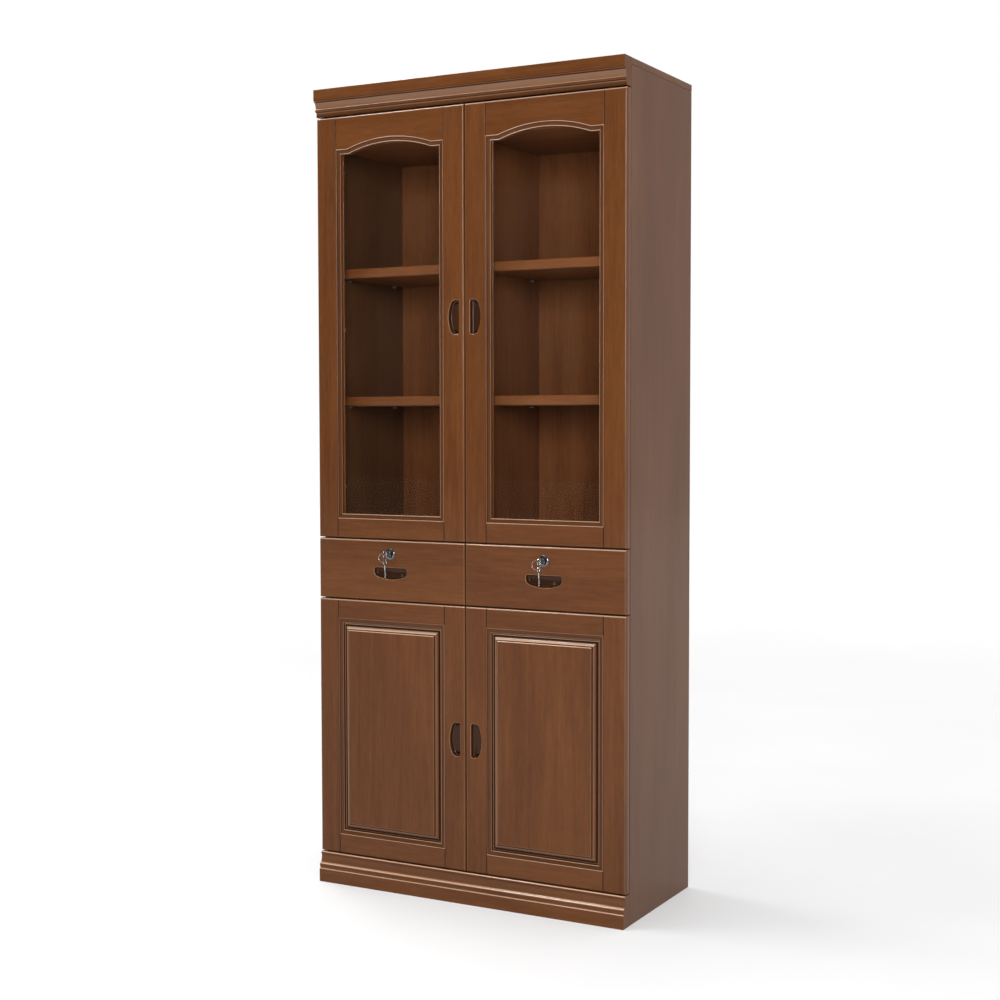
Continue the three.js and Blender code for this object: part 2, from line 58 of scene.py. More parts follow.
turn, tilt, roll = np.radians([28.63, 2.93, -0.09])
camera = place(bpy.data.objects.new("camera", bpy.data.cameras.new("camera")))
camera.data.lens = 58.94
camera.data.sensor_width = 36
camera.matrix_world = (
    Matrix.Translation((1.962, -3.5937, 1.1868))
    @ Matrix.Rotation(turn, 4, "Z")
    @ Matrix.Rotation(np.pi / 2 - tilt, 4, "X")
    @ Matrix.Rotation(roll, 4, "Z"))
scene.camera = camera


def soft_lamp(name, at, toward, width, height, watts):
    """A rectangular lamp at a place, facing another place."""
    lamp = place(bpy.data.objects.new(name, bpy.data.lights.new(name, "AREA")))
    lamp.data.shape = "RECTANGLE"
    lamp.data.size = width
    lamp.data.size_y = height
    lamp.data.energy = watts
    lamp.location = at
    lamp.rotation_euler = (Vector(toward) - Vector(at)).to_track_quat("-Z", "Y").to_euler()


soft_lamp("ceiling_lamp", (0.2, -0.8, 4.6), (0.2, -0.8, 0), 5.0, 4.0, 170)
soft_lamp("strip_lamp", (-1.8, -0.3, 4.2), (-0.2, -0.2, 1.0), 2.8, 0.5, 120)
soft_lamp("front_lamp", (2.7, -5.2, 2.2), (0, 0, 1.1), 1.8, 1.8, 230)


class Flow:
    """One output of a shader node. Arithmetic on it adds Math nodes, and add() any other node."""

    def __init__(self, tree, socket=None):
        self.tree = tree
        self.socket = socket

    def add(self, kind, settings, feeds, output=0):
        """Adds a node: its settings first, then a value or a Flow for each named socket."""
        made = self.tree.nodes.new(kind)
        for name, value in settings.items():
            if name == "stops":
                ramp = made.color_ramp.elements
                ramp[0].position = value[0][0]
                ramp[1].position = value[-1][0]
                for stop, _ in value[1:-1]:
                    ramp.new(stop)
                for element, (_, colour) in zip(ramp, value):
                    element.color = (*colour, 1)
            else:
                setattr(made, name, value)
        named = {socket.identifier: socket for socket in made.inputs}
        for name, value in feeds.items():
            target = named[name] if name in named else made.inputs[name]
            if isinstance(value, Flow):
                self.tree.links.new(value.socket, target)
            else:
                target.default_value = value
        given = {socket.identifier: socket for socket in made.outputs}
        return Flow(self.tree, given[output] if output in given else made.outputs[output])

    def math(self, operation, first, second):
        return self.add("ShaderNodeMath", {"operation": operation}, {0: first, 1: second})

    def __add__(self, other):
        return self.math("ADD", self, other)

    def __radd__(self, other):
        return self.math("ADD", other, self)

    def __sub__(self, other):
        return self.math("SUBTRACT", self, other)

    def __rsub__(self, other):
        return self.math("SUBTRACT", other, self)

    def __mul__(self, other):
        return self.math("MULTIPLY", self, other)

    def __rmul__(self, other):
        return self.math("MULTIPLY", other, self)


def new_finish(name):
    """An empty material, its output node, and a Flow to build it from."""
    material = bpy.data.materials.new(name)
    material.use_nodes = True
    material.node_tree.nodes.clear()
    output = material.node_tree.nodes.new("ShaderNodeOutputMaterial")
    return material, output, Flow(material.node_tree)


# The room's light comes from all round: white from behind, dim from the front. The camera itself
# sees plain white.
world = bpy.data.worlds.new("room")
world.use_nodes = True
scene.world = world
world.node_tree.nodes.clear()
room = Flow(world.node_tree)
direction = room.add("ShaderNodeTexCoord", {}, {}, "Generated")
depth = room.add("ShaderNodeSeparateXYZ", {}, {0: direction}, "Y")
glow = room.add(
    "ShaderNodeValToRGB",
    {"stops": [(0.0, (0.16, 0.16, 0.17)), (0.42, (0.20, 0.20, 0.21)), (0.62, (0.75, 0.75, 0.75))]},
    {"Fac": depth * 0.5 + 0.5})
seen = room.add("ShaderNodeLightPath", {}, {}, "Is Camera Ray")
backdrop = room.add("ShaderNodeMix", {"data_type": "RGBA"}, {
    "Factor_Float": seen, "A_Color": glow, "B_Color": (1, 1, 1, 1)}, "Result_Color")
sky = room.add("ShaderNodeBackground", {}, {"Color": backdrop, "Strength": 1.0})
world.node_tree.links.new(
    sky.socket, world.node_tree.nodes.new("ShaderNodeOutputWorld").inputs["Surface"])

reach = 14.0                   # half the floor, in metres
floor_finish, floor_end, flow = new_finish("pale_floor")
spot = flow.add("ShaderNodeTexCoord", {}, {}, "Object")
blotch = flow.add("ShaderNodeTexNoise", {}, {"Vector": spot, "Scale": 1.4, "Detail": 3.0})
floor_colour = flow.add(
    "ShaderNodeValToRGB",
    {"stops": [(0.3, (0.50, 0.50, 0.50)), (0.7, (0.53, 0.53, 0.53))]},
    {"Fac": blotch})
away = flow.add("ShaderNodeVectorMath", {"operation": "LENGTH"}, {0: spot}, "Value")
lift = flow.add(
    "ShaderNodeValToRGB",
    {"stops": [(0.08, (0.24, 0.24, 0.24)), (0.5, (0.75, 0.75, 0.75))]}, {"Fac": away * (1 / reach)})
floor_skin = flow.add("ShaderNodeBsdfPrincipled", {}, {
    "Base Color": floor_colour, "Roughness": 0.6, "Emission Color": lift,
    "Emission Strength": 1.0})
floor_finish.node_tree.links.new(floor_skin.socket, floor_end.inputs["Surface"])

floor_mesh = bpy.data.meshes.new("floor")
floor_mesh.from_pydata(
    [(-reach, -reach, 0), (reach, -reach, 0), (reach, reach, 0), (-reach, reach, 0)],
    [], [(0, 1, 2, 3)])
floor_mesh.materials.append(floor_finish)
floor = place(bpy.data.objects.new("floor", floor_mesh))

# ---- Carcass boards
# Boards of stained wood with softened edges, screwed and doweled together: two sides, the decks,
# dividers, ceiling and top, a rail behind the cornice, and a thin back let into grooves.
chance = np.random.default_rng(11)
mm = 0.001


def stained_wood(name, dark, middle, light, gloss, figure=1.0):
    """Stained and lacquered wood. Its pattern reads the grain attribute of a piece, metres along the
    grain, across it and into the board: slow colour drift, growth bands, fibre and pores. The glaze
    attribute is 1 where glaze and painted shade darken a hollow, an underside or a pull, and -1 on
    an edge painted pale as a highlight, with more coat there."""
    material, end, flow = new_finish(name)
    grain = flow.add("ShaderNodeAttribute", {"attribute_name": "grain"}, {}, "Vector")

    def noise(along, across, detail=2.0, rough=0.5, twist=0.0):
        stretched = flow.add(
            "ShaderNodeMapping", {}, {"Vector": grain, "Scale": (along, across, across)})
        return flow.add("ShaderNodeTexNoise", {}, {
            "Vector": stretched, "Scale": 1.0, "Detail": detail,
            "Roughness": rough, "Distortion": twist})

    drift = noise(1.6, 7.0, 2.0, 0.5, 0.4)
    bands = noise(2.2, 42.0, 3.0, 0.55, 1.2)
    fibre = noise(9.0, 420.0, 3.0, 0.6)
    fleck = noise(28.0, 150.0, 2.0, 0.5)
    pore = noise(70.0, 1500.0, 1.0, 0.5)
    pattern = drift * 0.5 + bands * (0.34 * figure) + fibre * 0.28 + fleck * 0.2
    centre = 0.5 * (0.5 + 0.34 * figure + 0.28 + 0.2)
    shade = (pattern - centre) * 1.5 + 0.5
    colour = flow.add(
        "ShaderNodeValToRGB", {"stops": [(0.2, dark), (0.5, middle), (0.8, light)]},
        {"Fac": shade})
    hollow = flow.add(
        "ShaderNodeMapRange", {"clamp": True},
        {"Value": pore, "From Min": 0.64, "From Max": 0.78, "To Min": 0.0, "To Max": 0.55})
    porous = flow.add("ShaderNodeMix", {"data_type": "RGBA"}, {
        "Factor_Float": hollow, "A_Color": colour, "B_Color": (*[0.45 * c for c in dark], 1)},
        "Result_Color")
    # The near-black colour is glaze and painted shade, mixed in where the tone attribute is above 0.
    tone = flow.add("ShaderNodeAttribute", {"attribute_name": "glaze"}, {}, "Fac")
    glaze_and_shade_mix = flow.add("ShaderNodeMix", {"data_type": "RGBA"}, {
        "Factor_Float": flow.math("MAXIMUM", tone, 0.0), "A_Color": porous,
        "B_Color": (0.012, 0.004, 0.002, 1)}, "Result_Color")
    # The pale colour is a painted highlight, mixed in where the tone attribute is below 0, with a
    # thicker coat there.
    painted_highlight = flow.math("MAXIMUM", tone * -1.0, 0.0)
    highlight_mix = flow.add("ShaderNodeMix", {"data_type": "RGBA"}, {
        "Factor_Float": painted_highlight, "A_Color": glaze_and_shade_mix, "B_Color": (0.56, 0.36, 0.24, 1)},
        "Result_Color")
    relief = flow.add("ShaderNodeBump", {}, {
        "Strength": 0.25, "Distance": 0.0002, "Height": fibre * 0.7 + bands * 0.5 - hollow * 0.6})
    skin = flow.add("ShaderNodeBsdfPrincipled", {}, {
        "Base Color": highlight_mix, "Roughness": (fleck + fibre) * 0.09 + gloss,
        "Normal": relief, "Specular IOR Level": 0.08,
        "Coat Weight": painted_highlight * 0.7 + 0.24, "Coat Roughness": 0.12, "Coat IOR": 1.5})
    material.node_tree.links.new(skin.socket, end.inputs["Surface"])
    return material


front_wood = stained_wood(
    "front_wood", (0.070, 0.0210, 0.0052), (0.103, 0.0335, 0.0083), (0.134, 0.047, 0.0125), 0.30)
side_wood = stained_wood(
    "side_wood", (0.082, 0.031, 0.012), (0.112, 0.044, 0.0175), (0.138, 0.058, 0.025), 0.34, 0.7)
# The inside wood is the front's stain painted lighter, standing in for light that does not reach
# into the cabinet.
inside_wood_painted_light = stained_wood(
    "inside_wood_painted_light", (0.125, 0.038, 0.012), (0.190, 0.062, 0.020), (0.235, 0.082, 0.029), 0.36)


def piece(name, shape, finish, body, nodes=(), along=2, grain=None, glaze=None):
    """Makes a closed mesh from (points, faces), faces outward, smooth but across sharp edges.
    The grain runs along the given axis from a place of its own, unless a grain is given."""
    points, faces = shape
    mesh = bpy.data.meshes.new(name)
    mesh.from_pydata(points.tolist(), [], faces)
    if grain is None:
        grain = points[:, [along, (along + 1) % 3, (along + 2) % 3]]
    grain = grain + chance.uniform(0, 20, 3)
    mesh.attributes.new("grain", "FLOAT_VECTOR", "POINT").data.foreach_set(
        "vector", grain.astype(np.float32).ravel())
    if glaze is not None:
        mesh.attributes.new("glaze", "FLOAT", "POINT").data.foreach_set(
            "value", np.asarray(glaze, np.float32).ravel())
    solid = bmesh.new()
    solid.from_mesh(mesh)
    bmesh.ops.recalc_face_normals(solid, faces=solid.faces)
    solid.to_mesh(mesh)
    solid.free()
    mesh.shade_smooth()
    mesh.set_sharp_from_angle(angle=np.radians(35))
    mesh.materials.append(finish)
    made = place(bpy.data.objects.new(name, mesh))
    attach(made, body)
    if nodes:
        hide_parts(*nodes)
    return made


def edge_lines(low, high, low_round, high_round):
    """Places across a board: low + r (1 - cos t) for t from 0 to 90 degrees over each rounded
    edge, then one more just inside it, and nothing in the flat between."""
    bend = 1 - np.cos(np.radians([0, 30, 60, 90]))
    inside = np.append(bend, 1.3)
    return np.concatenate([low + low_round * inside, (high - high_round * inside)[::-1]])


def fall(distance, radius):
    """How far a rounded edge falls away: r - sqrt(r^2 - (r - d)^2) within r of the edge."""
    short = np.clip(radius - distance, 0, radius)
    return radius - np.sqrt(np.maximum(radius**2 - short**2, 0))


def slab(low, high, thin, near_round, far_round, near_pockets=(), far_pockets=()):
    """A board between two corners, thin along one axis. Both faces are sheets over one grid of
    edge lines, z = fall(distance to the nearest edge), joined round the rim. near_round gives
    the rounding of the near face at the low and high ends of the other two axes. A pocket is a
    stack of rings from its mouth, in the flat of a face, to its floor."""
    wide, tall = [axis for axis in range(3) if axis != thin]
    u_lines = edge_lines(low[wide], high[wide], *near_round[:2])
    v_lines = edge_lines(low[tall], high[tall], *near_round[2:])
    u, v = np.meshgrid(u_lines, v_lines, indexing="ij")
    gaps = [u - low[wide], high[wide] - u, v - low[tall], high[tall] - v]
    near = low[thin] + np.max([fall(gap, r) for gap, r in zip(gaps, near_round)], axis=0)
    far = high[thin] - np.max([fall(gap, far_round) for gap in gaps], axis=0)

    rows, columns = u.shape
    index = np.arange(rows * columns).reshape(rows, columns)
    cells = np.stack(
        [index[:-1, :-1], index[1:, :-1], index[1:, 1:], index[:-1, 1:]], -1).reshape(-1, 4)
    rim = np.concatenate([index[0, :-1], index[:-1, -1], index[-1, :0:-1], index[:0:-1, 0]])
    count = rows * columns
    widest = (rows - 1) // 2 * (columns - 1) + (columns - 1) // 2
    points = [np.empty((2 * count, 3))]
    for start, sheet in ((0, near), (count, far)):
        points[0][start:start + count, wide] = u.ravel()
        points[0][start:start + count, tall] = v.ravel()
        points[0][start:start + count, thin] = sheet.ravel()
    faces = np.stack([rim, np.roll(rim, -1), np.roll(rim, -1) + count, rim + count], -1).tolist()
    total = 2 * count
    for start, pockets in ((0, near_pockets), (count, far_pockets)):
        keep = np.ones(len(cells), bool)
        keep[widest] = not pockets
        faces += (cells[keep] + start).tolist()
        if pockets:
            loops = [cells[widest] + start]
            for rings in pockets:
                ring_points, ring_faces = stack(rings, ends=(False, True))
                points.append(ring_points)
                faces += [[corner + total for corner in face] for face in ring_faces]
                loops.append(np.arange(total, total + rings.shape[1]))
                total += len(ring_points)
            every = np.concatenate(points)
            flat = np.concatenate(loops)
            flat_loops = [[Vector((*every[i][[wide, tall]], 0)) for i in loop] for loop in loops]
            faces += [[int(flat[i]) for i in face] for face in tessellate_polygon(flat_loops)]
    return np.concatenate(points), faces


def stack(rings, ends=(True, True), closed=False):
    """Joins each ring of points to the next, S(i, j) = rings[i, j], every ring closed on itself.
    Its two ends are capped, or the last ring joins the first."""
    layers, size = rings.shape[:2]
    index = np.arange(layers * size).reshape(layers, size)
    after = np.roll(index, -1, axis=1)
    above = np.roll(index, -1, axis=0)
    corner = np.roll(above, -1, axis=1)
    quads = np.stack([index, after, corner, above], -1)
    faces = (quads if closed else quads[:-1]).reshape(-1, 4).tolist()
    if not closed and ends[0]:
        faces.append(index[0, ::-1].tolist())
    if not closed and ends[1]:
        faces.append(index[-1].tolist())
    return rings.reshape(-1, 3), faces


def corners(node):
    """The lowest and highest corners of a part of the frame, as arrays."""
    low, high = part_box(node)
    return np.array(low), np.array(high)


arris = 1.2 * mm
side, inside = (side_wood, "stained_side"), (inside_wood_painted_light, "stained_inside")
carcass_boards = {             # thin axis, axis of the grain, finish
    "side_panel_left": (0, 2, side),
    "side_panel_right": (0, 2, side),
    "top_board": (2, 0, side),
    "bottom_board": (2, 0, inside),
    "deck_below_drawers": (2, 0, inside),
    "deck_above_drawers": (2, 0, inside),
    "ceiling_board": (2, 0, inside),
    "lower_divider": (0, 2, inside),
    "drawer_divider": (0, 2, inside),
    "upper_divider": (0, 2, inside),
    "top_rail": (1, 0, inside),
    "back_panel": (1, 2, (inside_wood_painted_light, "stained_back")),
}
cam_half = 5.5 * mm
cam_thick = 2.5 * mm
cam_play = 2.2 * mm
mortise_depth = 11 * mm


def cam_mortise(hand, deck_underside):
    """The slot that lets a lock's cam turn up: a rectangle as wide as the cam's tip sweeps,
    sqrt(reach^2 + half^2 - rise^2), sunk straight up into the underside of the deck."""
    cam_low, cam_high = corners(f"lock_plug_with_cam_{hand}")
    lock_low, lock_high = corners(f"lock_body_{hand}")
    x, z = (lock_low[0] + lock_high[0]) / 2, (lock_low[2] + lock_high[2]) / 2
    sweep = np.sqrt((x - cam_low[0])**2 + cam_half**2 - (deck_underside - z)**2)
    x_low, x_high = x - sweep - cam_play, x + cam_half + cam_play
    y_low, y_high = cam_high[1] - cam_thick - cam_play, cam_high[1] + cam_play
    loop = [(x_low, y_low), (x_high, y_low), (x_high, y_high), (x_low, y_high)]
    rings = np.empty((2, 4, 3))
    rings[..., :2] = loop
    rings[..., 2] = [[deck_underside], [deck_underside + mortise_depth]]
    return rings


for node, (thin, along, (finish, slot)) in carcass_boards.items():
    low, high = corners(node)
    edge = min(arris, 0.3 * (high[thin] - low[thin]))
    pockets = []
    if node == "deck_above_drawers":
        pockets = [cam_mortise(hand, low[2]) for hand in ("left", "right")]
    piece(f"{node}_wood", slab(low, high, thin, [edge] * 4, edge, pockets), finish, "carcass",
          [node], along)

# ---- Shelves and their pins
# Loose 25 mm shelves with rounded front edges, two behind each glass door and one behind each
# panel door. Each rests on four steel pins pushed into the sides and the divider.
def speckled(name, dark, light, scale, detail, rough, spread, metallic, relief=None):
    """A fine even finish. One noise mixes the darker and the lighter colour and gives roughness =
    rough + spread x noise. The relief, if any, is its strength and height in metres."""
    material, end, flow = new_finish(name)
    spot = flow.add("ShaderNodeTexCoord", {}, {}, "Object")
    speck = flow.add(
        "ShaderNodeTexNoise", {}, {"Vector": spot, "Scale": scale, "Detail": detail})
    colour = flow.add("ShaderNodeValToRGB", {"stops": [(0.3, dark), (0.7, light)]}, {"Fac": speck})
    feeds = {"Base Color": colour, "Metallic": metallic, "Roughness": speck * spread + rough}
    if relief:
        feeds["Normal"] = flow.add("ShaderNodeBump", {}, {
            "Strength": relief[0], "Distance": relief[1], "Height": speck})
    skin = flow.add("ShaderNodeBsdfPrincipled", {}, feeds)
    material.node_tree.links.new(skin.socket, end.inputs["Surface"])
    return material


zinc = speckled("zinc", (0.5084, 0.5084, 0.5166), (0.62, 0.62, 0.63), 90.0, 4.0, 0.26, 0.12, 1.0,
                (0.15, 0.0001))


def steel(name, shape, body, nodes=()):
    """A zinc-plated steel piece."""
    piece(name, shape, zinc, body, nodes)


def turned(axis, centre, profile, steps=32):
    """A turned part: profile points of (radius, distance along the axis) swept once round,
    P = centre + r cos t U + r sin t V + d W."""
    angle = np.linspace(0, 2 * np.pi, steps, endpoint=False)
    radius, along = np.asarray(profile, float).T
    first, second = [k for k in range(3) if k != axis]
    rings = np.empty((len(radius), steps, 3))
    rings[..., first] = centre[first] + radius[:, None] * np.cos(angle)
    rings[..., second] = centre[second] + radius[:, None] * np.sin(angle)
    rings[..., axis] = (centre[axis] + along)[:, None]
    return rings


shelf_round = 4 * mm           # front and top and bottom edges of a shelf
shelf_ease = 1 * mm            # its other edges
pin_radius = 2.5 * mm
pin_inset = 50 * mm
pin_profile = [(0.3, -7), (2.2, -7), (2.5, -6.5), (2.5, -1.4), (2.5, 8), (2.1, 8.6), (0.3, 8.6)]
for hand in ("left", "right"):
    for shelf in (f"upper_shelf_{hand}_low", f"upper_shelf_{hand}_high", f"lower_shelf_{hand}"):
        low, high = corners(shelf)
        rounds = [shelf_ease, shelf_ease, shelf_round, shelf_ease]
        piece(f"{shelf}_wood", slab(low, high, 2, rounds, shelf_round), inside_wood_painted_light, "carcass",
              [shelf], 0)
        for end, wall, inward in (("low_x", low[0], 1), ("high_x", high[0], -1)):
            profile = np.array(pin_profile) * (mm, inward * mm)
            for where, y in (("front", low[1] + pin_inset), ("back", high[1] - pin_inset)):
                centre = (wall, y, low[2] - pin_radius)
                steel(f"{shelf}_pin_{end}_{where}", stack(turned(0, centre, profile, 16)),
                      "carcass")

# ---- Cornice and base mouldings
# Long mouldings glued along the front, one over the upper doors and one under the lower doors.
# Each is run to one section, square at its ends and flush with the sides.
def bend(start, middle, end, steps=10):
    """Points after start on the curve (1-t)^2 start + 2t(1-t) middle + t^2 end."""
    t = np.linspace(0, 1, steps + 1)[1:, None]
    start, middle, end = (np.array(point, float) for point in (start, middle, end))
    return (1 - t)**2 * start + 2 * t * (1 - t) * middle + t**2 * end


def section(start, steps):
    """A section from its first point and steps, each a point or a point and what it bends to."""
    points = [np.array([start], float)]
    for step in steps:
        if len(step) == 2:
            points.append(np.array([step], float))
        else:
            points.append(bend(points[-1][-1], step[2:], step[:2]))
    return np.concatenate(points)


door_face = corners("drawer_front_left")[0][1]


def run_moulding(name, node, outline, hollow_sheen):
    """Carries a section of (proud of the door faces, height) in mm along X, from end to end. It
    takes a painted highlight where its normal, the tangent turned a quarter, faces up and forward,
    and painted shade underneath. A hollow turns the other way, and so does its cross product of
    steps; a hollow takes a faint painted sheen."""
    low, high = corners(node)
    tangent = np.roll(outline, -1, 0) - np.roll(outline, 1, 0)
    facing = np.stack([-tangent[:, 1], tangent[:, 0]], -1)
    facing /= np.linalg.norm(facing, axis=1, keepdims=True)
    before, after = outline - np.roll(outline, 1, 0), np.roll(outline, -1, 0) - outline
    hollow = before[:, 0] * after[:, 1] - before[:, 1] * after[:, 0] > 0.01
    # Painted highlight on faces up and forward, painted sheen in the hollows, painted shade
    # underneath.
    painted_light = np.clip(facing[:, 1] * 2.5 - 0.5, 0, 1) * np.clip(facing[:, 0] * 3, 0, 1) * 0.9
    painted_light[hollow] = hollow_sheen
    painted_light[facing[:, 1] < -0.75] = -0.75
    stations = np.array([low[0], low[0] + arris / 2, high[0] - arris / 2, high[0]])
    middle = outline.mean(axis=0)
    rings = np.empty((len(stations), len(outline), 3))
    for ring, x, share in zip(rings, stations, (0.994, 1, 1, 0.994)):
        shrunk = middle + (outline - middle) * share
        ring[:, 0] = x
        ring[:, 1] = door_face - shrunk[:, 0] * mm
        ring[:, 2] = shrunk[:, 1] * mm
    piece(name, stack(rings), front_wood, "carcass", [node], 0,
          glaze=np.concatenate([painted_light * 0, -painted_light, -painted_light, painted_light * 0]))


low, high = corners("cornice_moulding")
behind = (door_face - high[1]) / mm
low_z, top_z = low[2] / mm, high[2] / mm
fascia_z = top_z - 27
run_moulding("cornice", "cornice_moulding", section((behind, low_z), [
    (behind, top_z), (12.7, top_z), (13.5, top_z - 0.8, 13.5, top_z),
    (13.5, fascia_z + 0.8), (12.7, fascia_z, 13.5, fascia_z), (11, fascia_z - 1),
    (11, fascia_z - 3),
    (3.2, fascia_z - 19.5, 4.2, fascia_z - 5), (4.2, fascia_z - 20.5),
    (5.6, fascia_z - 22.8, 5.6, fascia_z - 20.8), (4.4, fascia_z - 27, 5.8, fascia_z - 25.4),
    (0.4, fascia_z - 28.6, 3, fascia_z - 28.4), (0, fascia_z - 30), (0, low_z)]), 0.18)
base_top = corners("base_moulding")[1][2] / mm
plinth_z = 33.0                # top of the flat plinth, in mm
run_moulding("base", "base_moulding", section((behind, 0), [
    (behind, base_top), (-1, base_top), (2, base_top - 3.4, 1.6, base_top - 0.4),
    (0.8, base_top - 6.4, 2.2, base_top - 5.8), (-0.5, base_top - 8),
    (4.4, plinth_z + 15.4, -0.6, plinth_z + 17.5), (5.4, plinth_z + 14.6),
    (8.6, plinth_z + 10.6, 8.4, plinth_z + 14.2), (7.4, plinth_z + 5, 8.8, plinth_z + 7),
    (7, plinth_z + 1.4), (9.2, plinth_z, 7.2, plinth_z + 0.2), (10, plinth_z - 0.8, 10, plinth_z),
    (10, 0)]), 0.03)

# ---- Door frames
# Each door is two full-height stiles with rails between them, a V-shaped line at each joint, and
# a mitred moulding round the opening. The head rail of an upper door is cut to an arch.
stile = 57 * mm
square = 0.01 * mm             # an edge left sharp, under the moulding
rail = 47.5 * mm
head_rail = 80 * mm            # at the shoulders of the arch
sticking = 12.5 * mm           # width of the moulding
arch_rise = 21 * mm
arch_flat = 23 * mm            # shoulder at each end of the arch
outer_round = 4 * mm
back_round = 1.2 * mm
pull_inset = 13.5 * mm         # straight side of a pull, from the meeting edge
door_pull, drawer_pull = 82 * mm, 95 * mm
upper_pull_rise, lower_pull_rise = 541.5 * mm, 322 * mm
joint_round = 1.6 * mm
joint_shade = 0.85              # painted shade in the V at a joint
# Painted highlights on the side and top edges of a front, palest on top where the light falls.
left_highlight, right_highlight, top_highlight = -0.10, -0.06, -0.62
cup_radius = 17.5 * mm
cup_inset = 22.5 * mm
cup_depth = 14.6 * mm


def eased(outline, radii, steps=6):
    """Rounds each corner of a polygon: a curve bent to the corner, r long on either side."""
    points = []
    for before, corner, after, radius in zip(
            np.roll(outline, 1, 0), outline, np.roll(outline, -1, 0), radii):
        start = corner + (before - corner) * radius / np.linalg.norm(before - corner)
        end = corner + (after - corner) * radius / np.linalg.norm(after - corner)
        points += [start[None], bend(start, corner, end, steps)]
    return np.concatenate(points)


def inset_rings(loop, profile, plane):
    """Rings of a pocket: P = loop - d N and depth c, for profile points (d inward, c deep). The
    normal N is the outline's tangent turned a quarter; the plane is (u, v, w) axes and w = 0."""
    wide, tall, thin, level, sense = plane
    tangent = np.roll(loop, -1, 0) - np.roll(loop, 1, 0)
    normal = np.stack([tangent[:, 1], -tangent[:, 0]], -1)
    normal /= np.linalg.norm(normal, axis=1, keepdims=True)
    area = np.sum(loop[:, 0] * np.roll(loop[:, 1], -1) - loop[:, 1] * np.roll(loop[:, 0], -1))
    normal *= np.sign(area)
    rings = np.empty((len(profile), len(loop), 3))
    for ring, (inward, deep) in zip(rings, profile):
        ring[:, [wide, tall]] = loop - inward * normal
        ring[:, thin] = level + sense * deep
    return rings


pull_lip = 1.6 * mm
pull_deep = 12.8 * mm
pull_floor = 4.5 * mm
quarter = np.radians([0, 22.5, 45, 67.5, 90])
pull_profile = [(-pull_lip - 0.5 * mm, 0)]
pull_profile += [(pull_lip * (np.sin(t) - 1), pull_lip * (1 - np.cos(t))) for t in quarter]
pull_profile += [(pull_floor * (1 - np.cos(t)), pull_deep - pull_floor * (1 - np.sin(t)))
                 for t in quarter]


def pull_pocket(length, middle, across):
    """A finger pull cut into a front: a rectangle with one long side bowed out, its corners
    eased. across(along, reach) turns places on the pull into X and Z."""
    body, bulge, half = 19 * mm, 10.5 * mm, length / 2
    radius = (half**2 + bulge**2) / (2 * bulge)
    sweep = np.linspace(1, -1, 9)[1:-1] * np.arcsin(half / radius)
    bow = np.stack([radius * np.sin(sweep), body + bulge - radius * (1 - np.cos(sweep))], -1)
    outline = np.concatenate([[(-half, 0), (half, 0), (half, body)], bow, [(-half, body)]])
    ease = np.array([5, 5, 9] + [4] * len(bow) + [9]) * mm
    loop = eased(outline, ease)
    loop = np.stack(across(loop[:, 0], loop[:, 1]), -1) + middle
    return inset_rings(loop, pull_profile, (0, 2, 1, door_face, 1))


def painted_edge_shading(shape, low, high, rounds, tones):
    """Painted light and shade of a front: an edge takes its tone where it curves away, within r of
    the edge, painted shade in a V joint at its foot, and painted shade in a pull that darkens by
    interpolation of its depth below a painted pale rim."""
    points = shape[0]
    deep = points[:, 1] - low[1]
    gaps = np.stack([points[:, 0] - low[0], high[0] - points[:, 0],
                     points[:, 2] - low[2], high[2] - points[:, 2]])
    pull = (gaps.min(axis=0) > 1.35 * outer_round) & (deep > 0.05 * mm) & (deep < 1.1 * pull_deep)
    depths = np.array([0.2, 0.8, 1.8, 4.0, 9.0]) * mm
    tone = np.where(pull, np.interp(deep, depths, [-0.2, -0.3, 0.3, 0.62, 0.74]), 0)
    for gap, radius, value in zip(gaps, rounds, tones):
        if value > 0:
            tone[(gap < 0.7 * radius) & (deep < 2 * radius)] = value
        elif value < 0:
            tone[(gap > 0.05 * radius) & (gap < 0.7 * radius) & (deep < 0.99 * radius)] = value
    return tone


def front_board(name, box, rounds, tones, body, nodes, along, pulls=(), cups=()):
    """A board of a front between two corners, with its painted light and shade. A round or tone is
    given for the low and high X edges and then for the low and high Z edges."""
    shape = slab(*box, 1, rounds, back_round, pulls, cups)
    piece(name, shape, front_wood, body, nodes, along,
          glaze=painted_edge_shading(shape, *box, rounds, tones))


def cup_pocket(x, z, door_back):
    """The round bore for a hinge cup in the back of a stile."""
    angle = np.linspace(0, 2 * np.pi, 32, endpoint=False)
    loop = np.stack([x + cup_radius * np.cos(angle), z + cup_radius * np.sin(angle)], -1)
    profile = [(-0.8 * mm, 0), (-0.5 * mm, 0), (-0.3 * mm, 0.3 * mm), (-0.3 * mm, cup_depth)]
    return inset_rings(loop, profile, (0, 2, 1, door_back, -1))


# Section of the moulding: (in from the outer edge, behind the door faces), and the tone: painted
# shade more than 0 in the hollows, and painted highlight less than 0 on the beads.
half_round = np.radians(np.linspace(180, 0, 7))
bead = [(0.9 + 0.9 * np.cos(t), 0.9 - 0.9 * np.sin(t), -0.9 * np.sin(t)) for t in half_round]
ogee = [(*point, 0.25) for point in bend((2.2, 2.3), (4.5, 2.1), (10.3, 4.2), 8)]
inner_bead = [(11.4 + 0.95 * np.cos(t), 3.7 - 0.95 * np.sin(t), -0.9 * np.sin(t))
              for t in half_round]
worked = ([(0.0, 1.4, 0.8)] + bead + [(1.9, 1.6, 0.7), (2.2, 2.3, 0.7)] + ogee
          + [(10.4, 4.4, 0.7)] + inner_bead + [(12.5, 4.4, 0.4)])


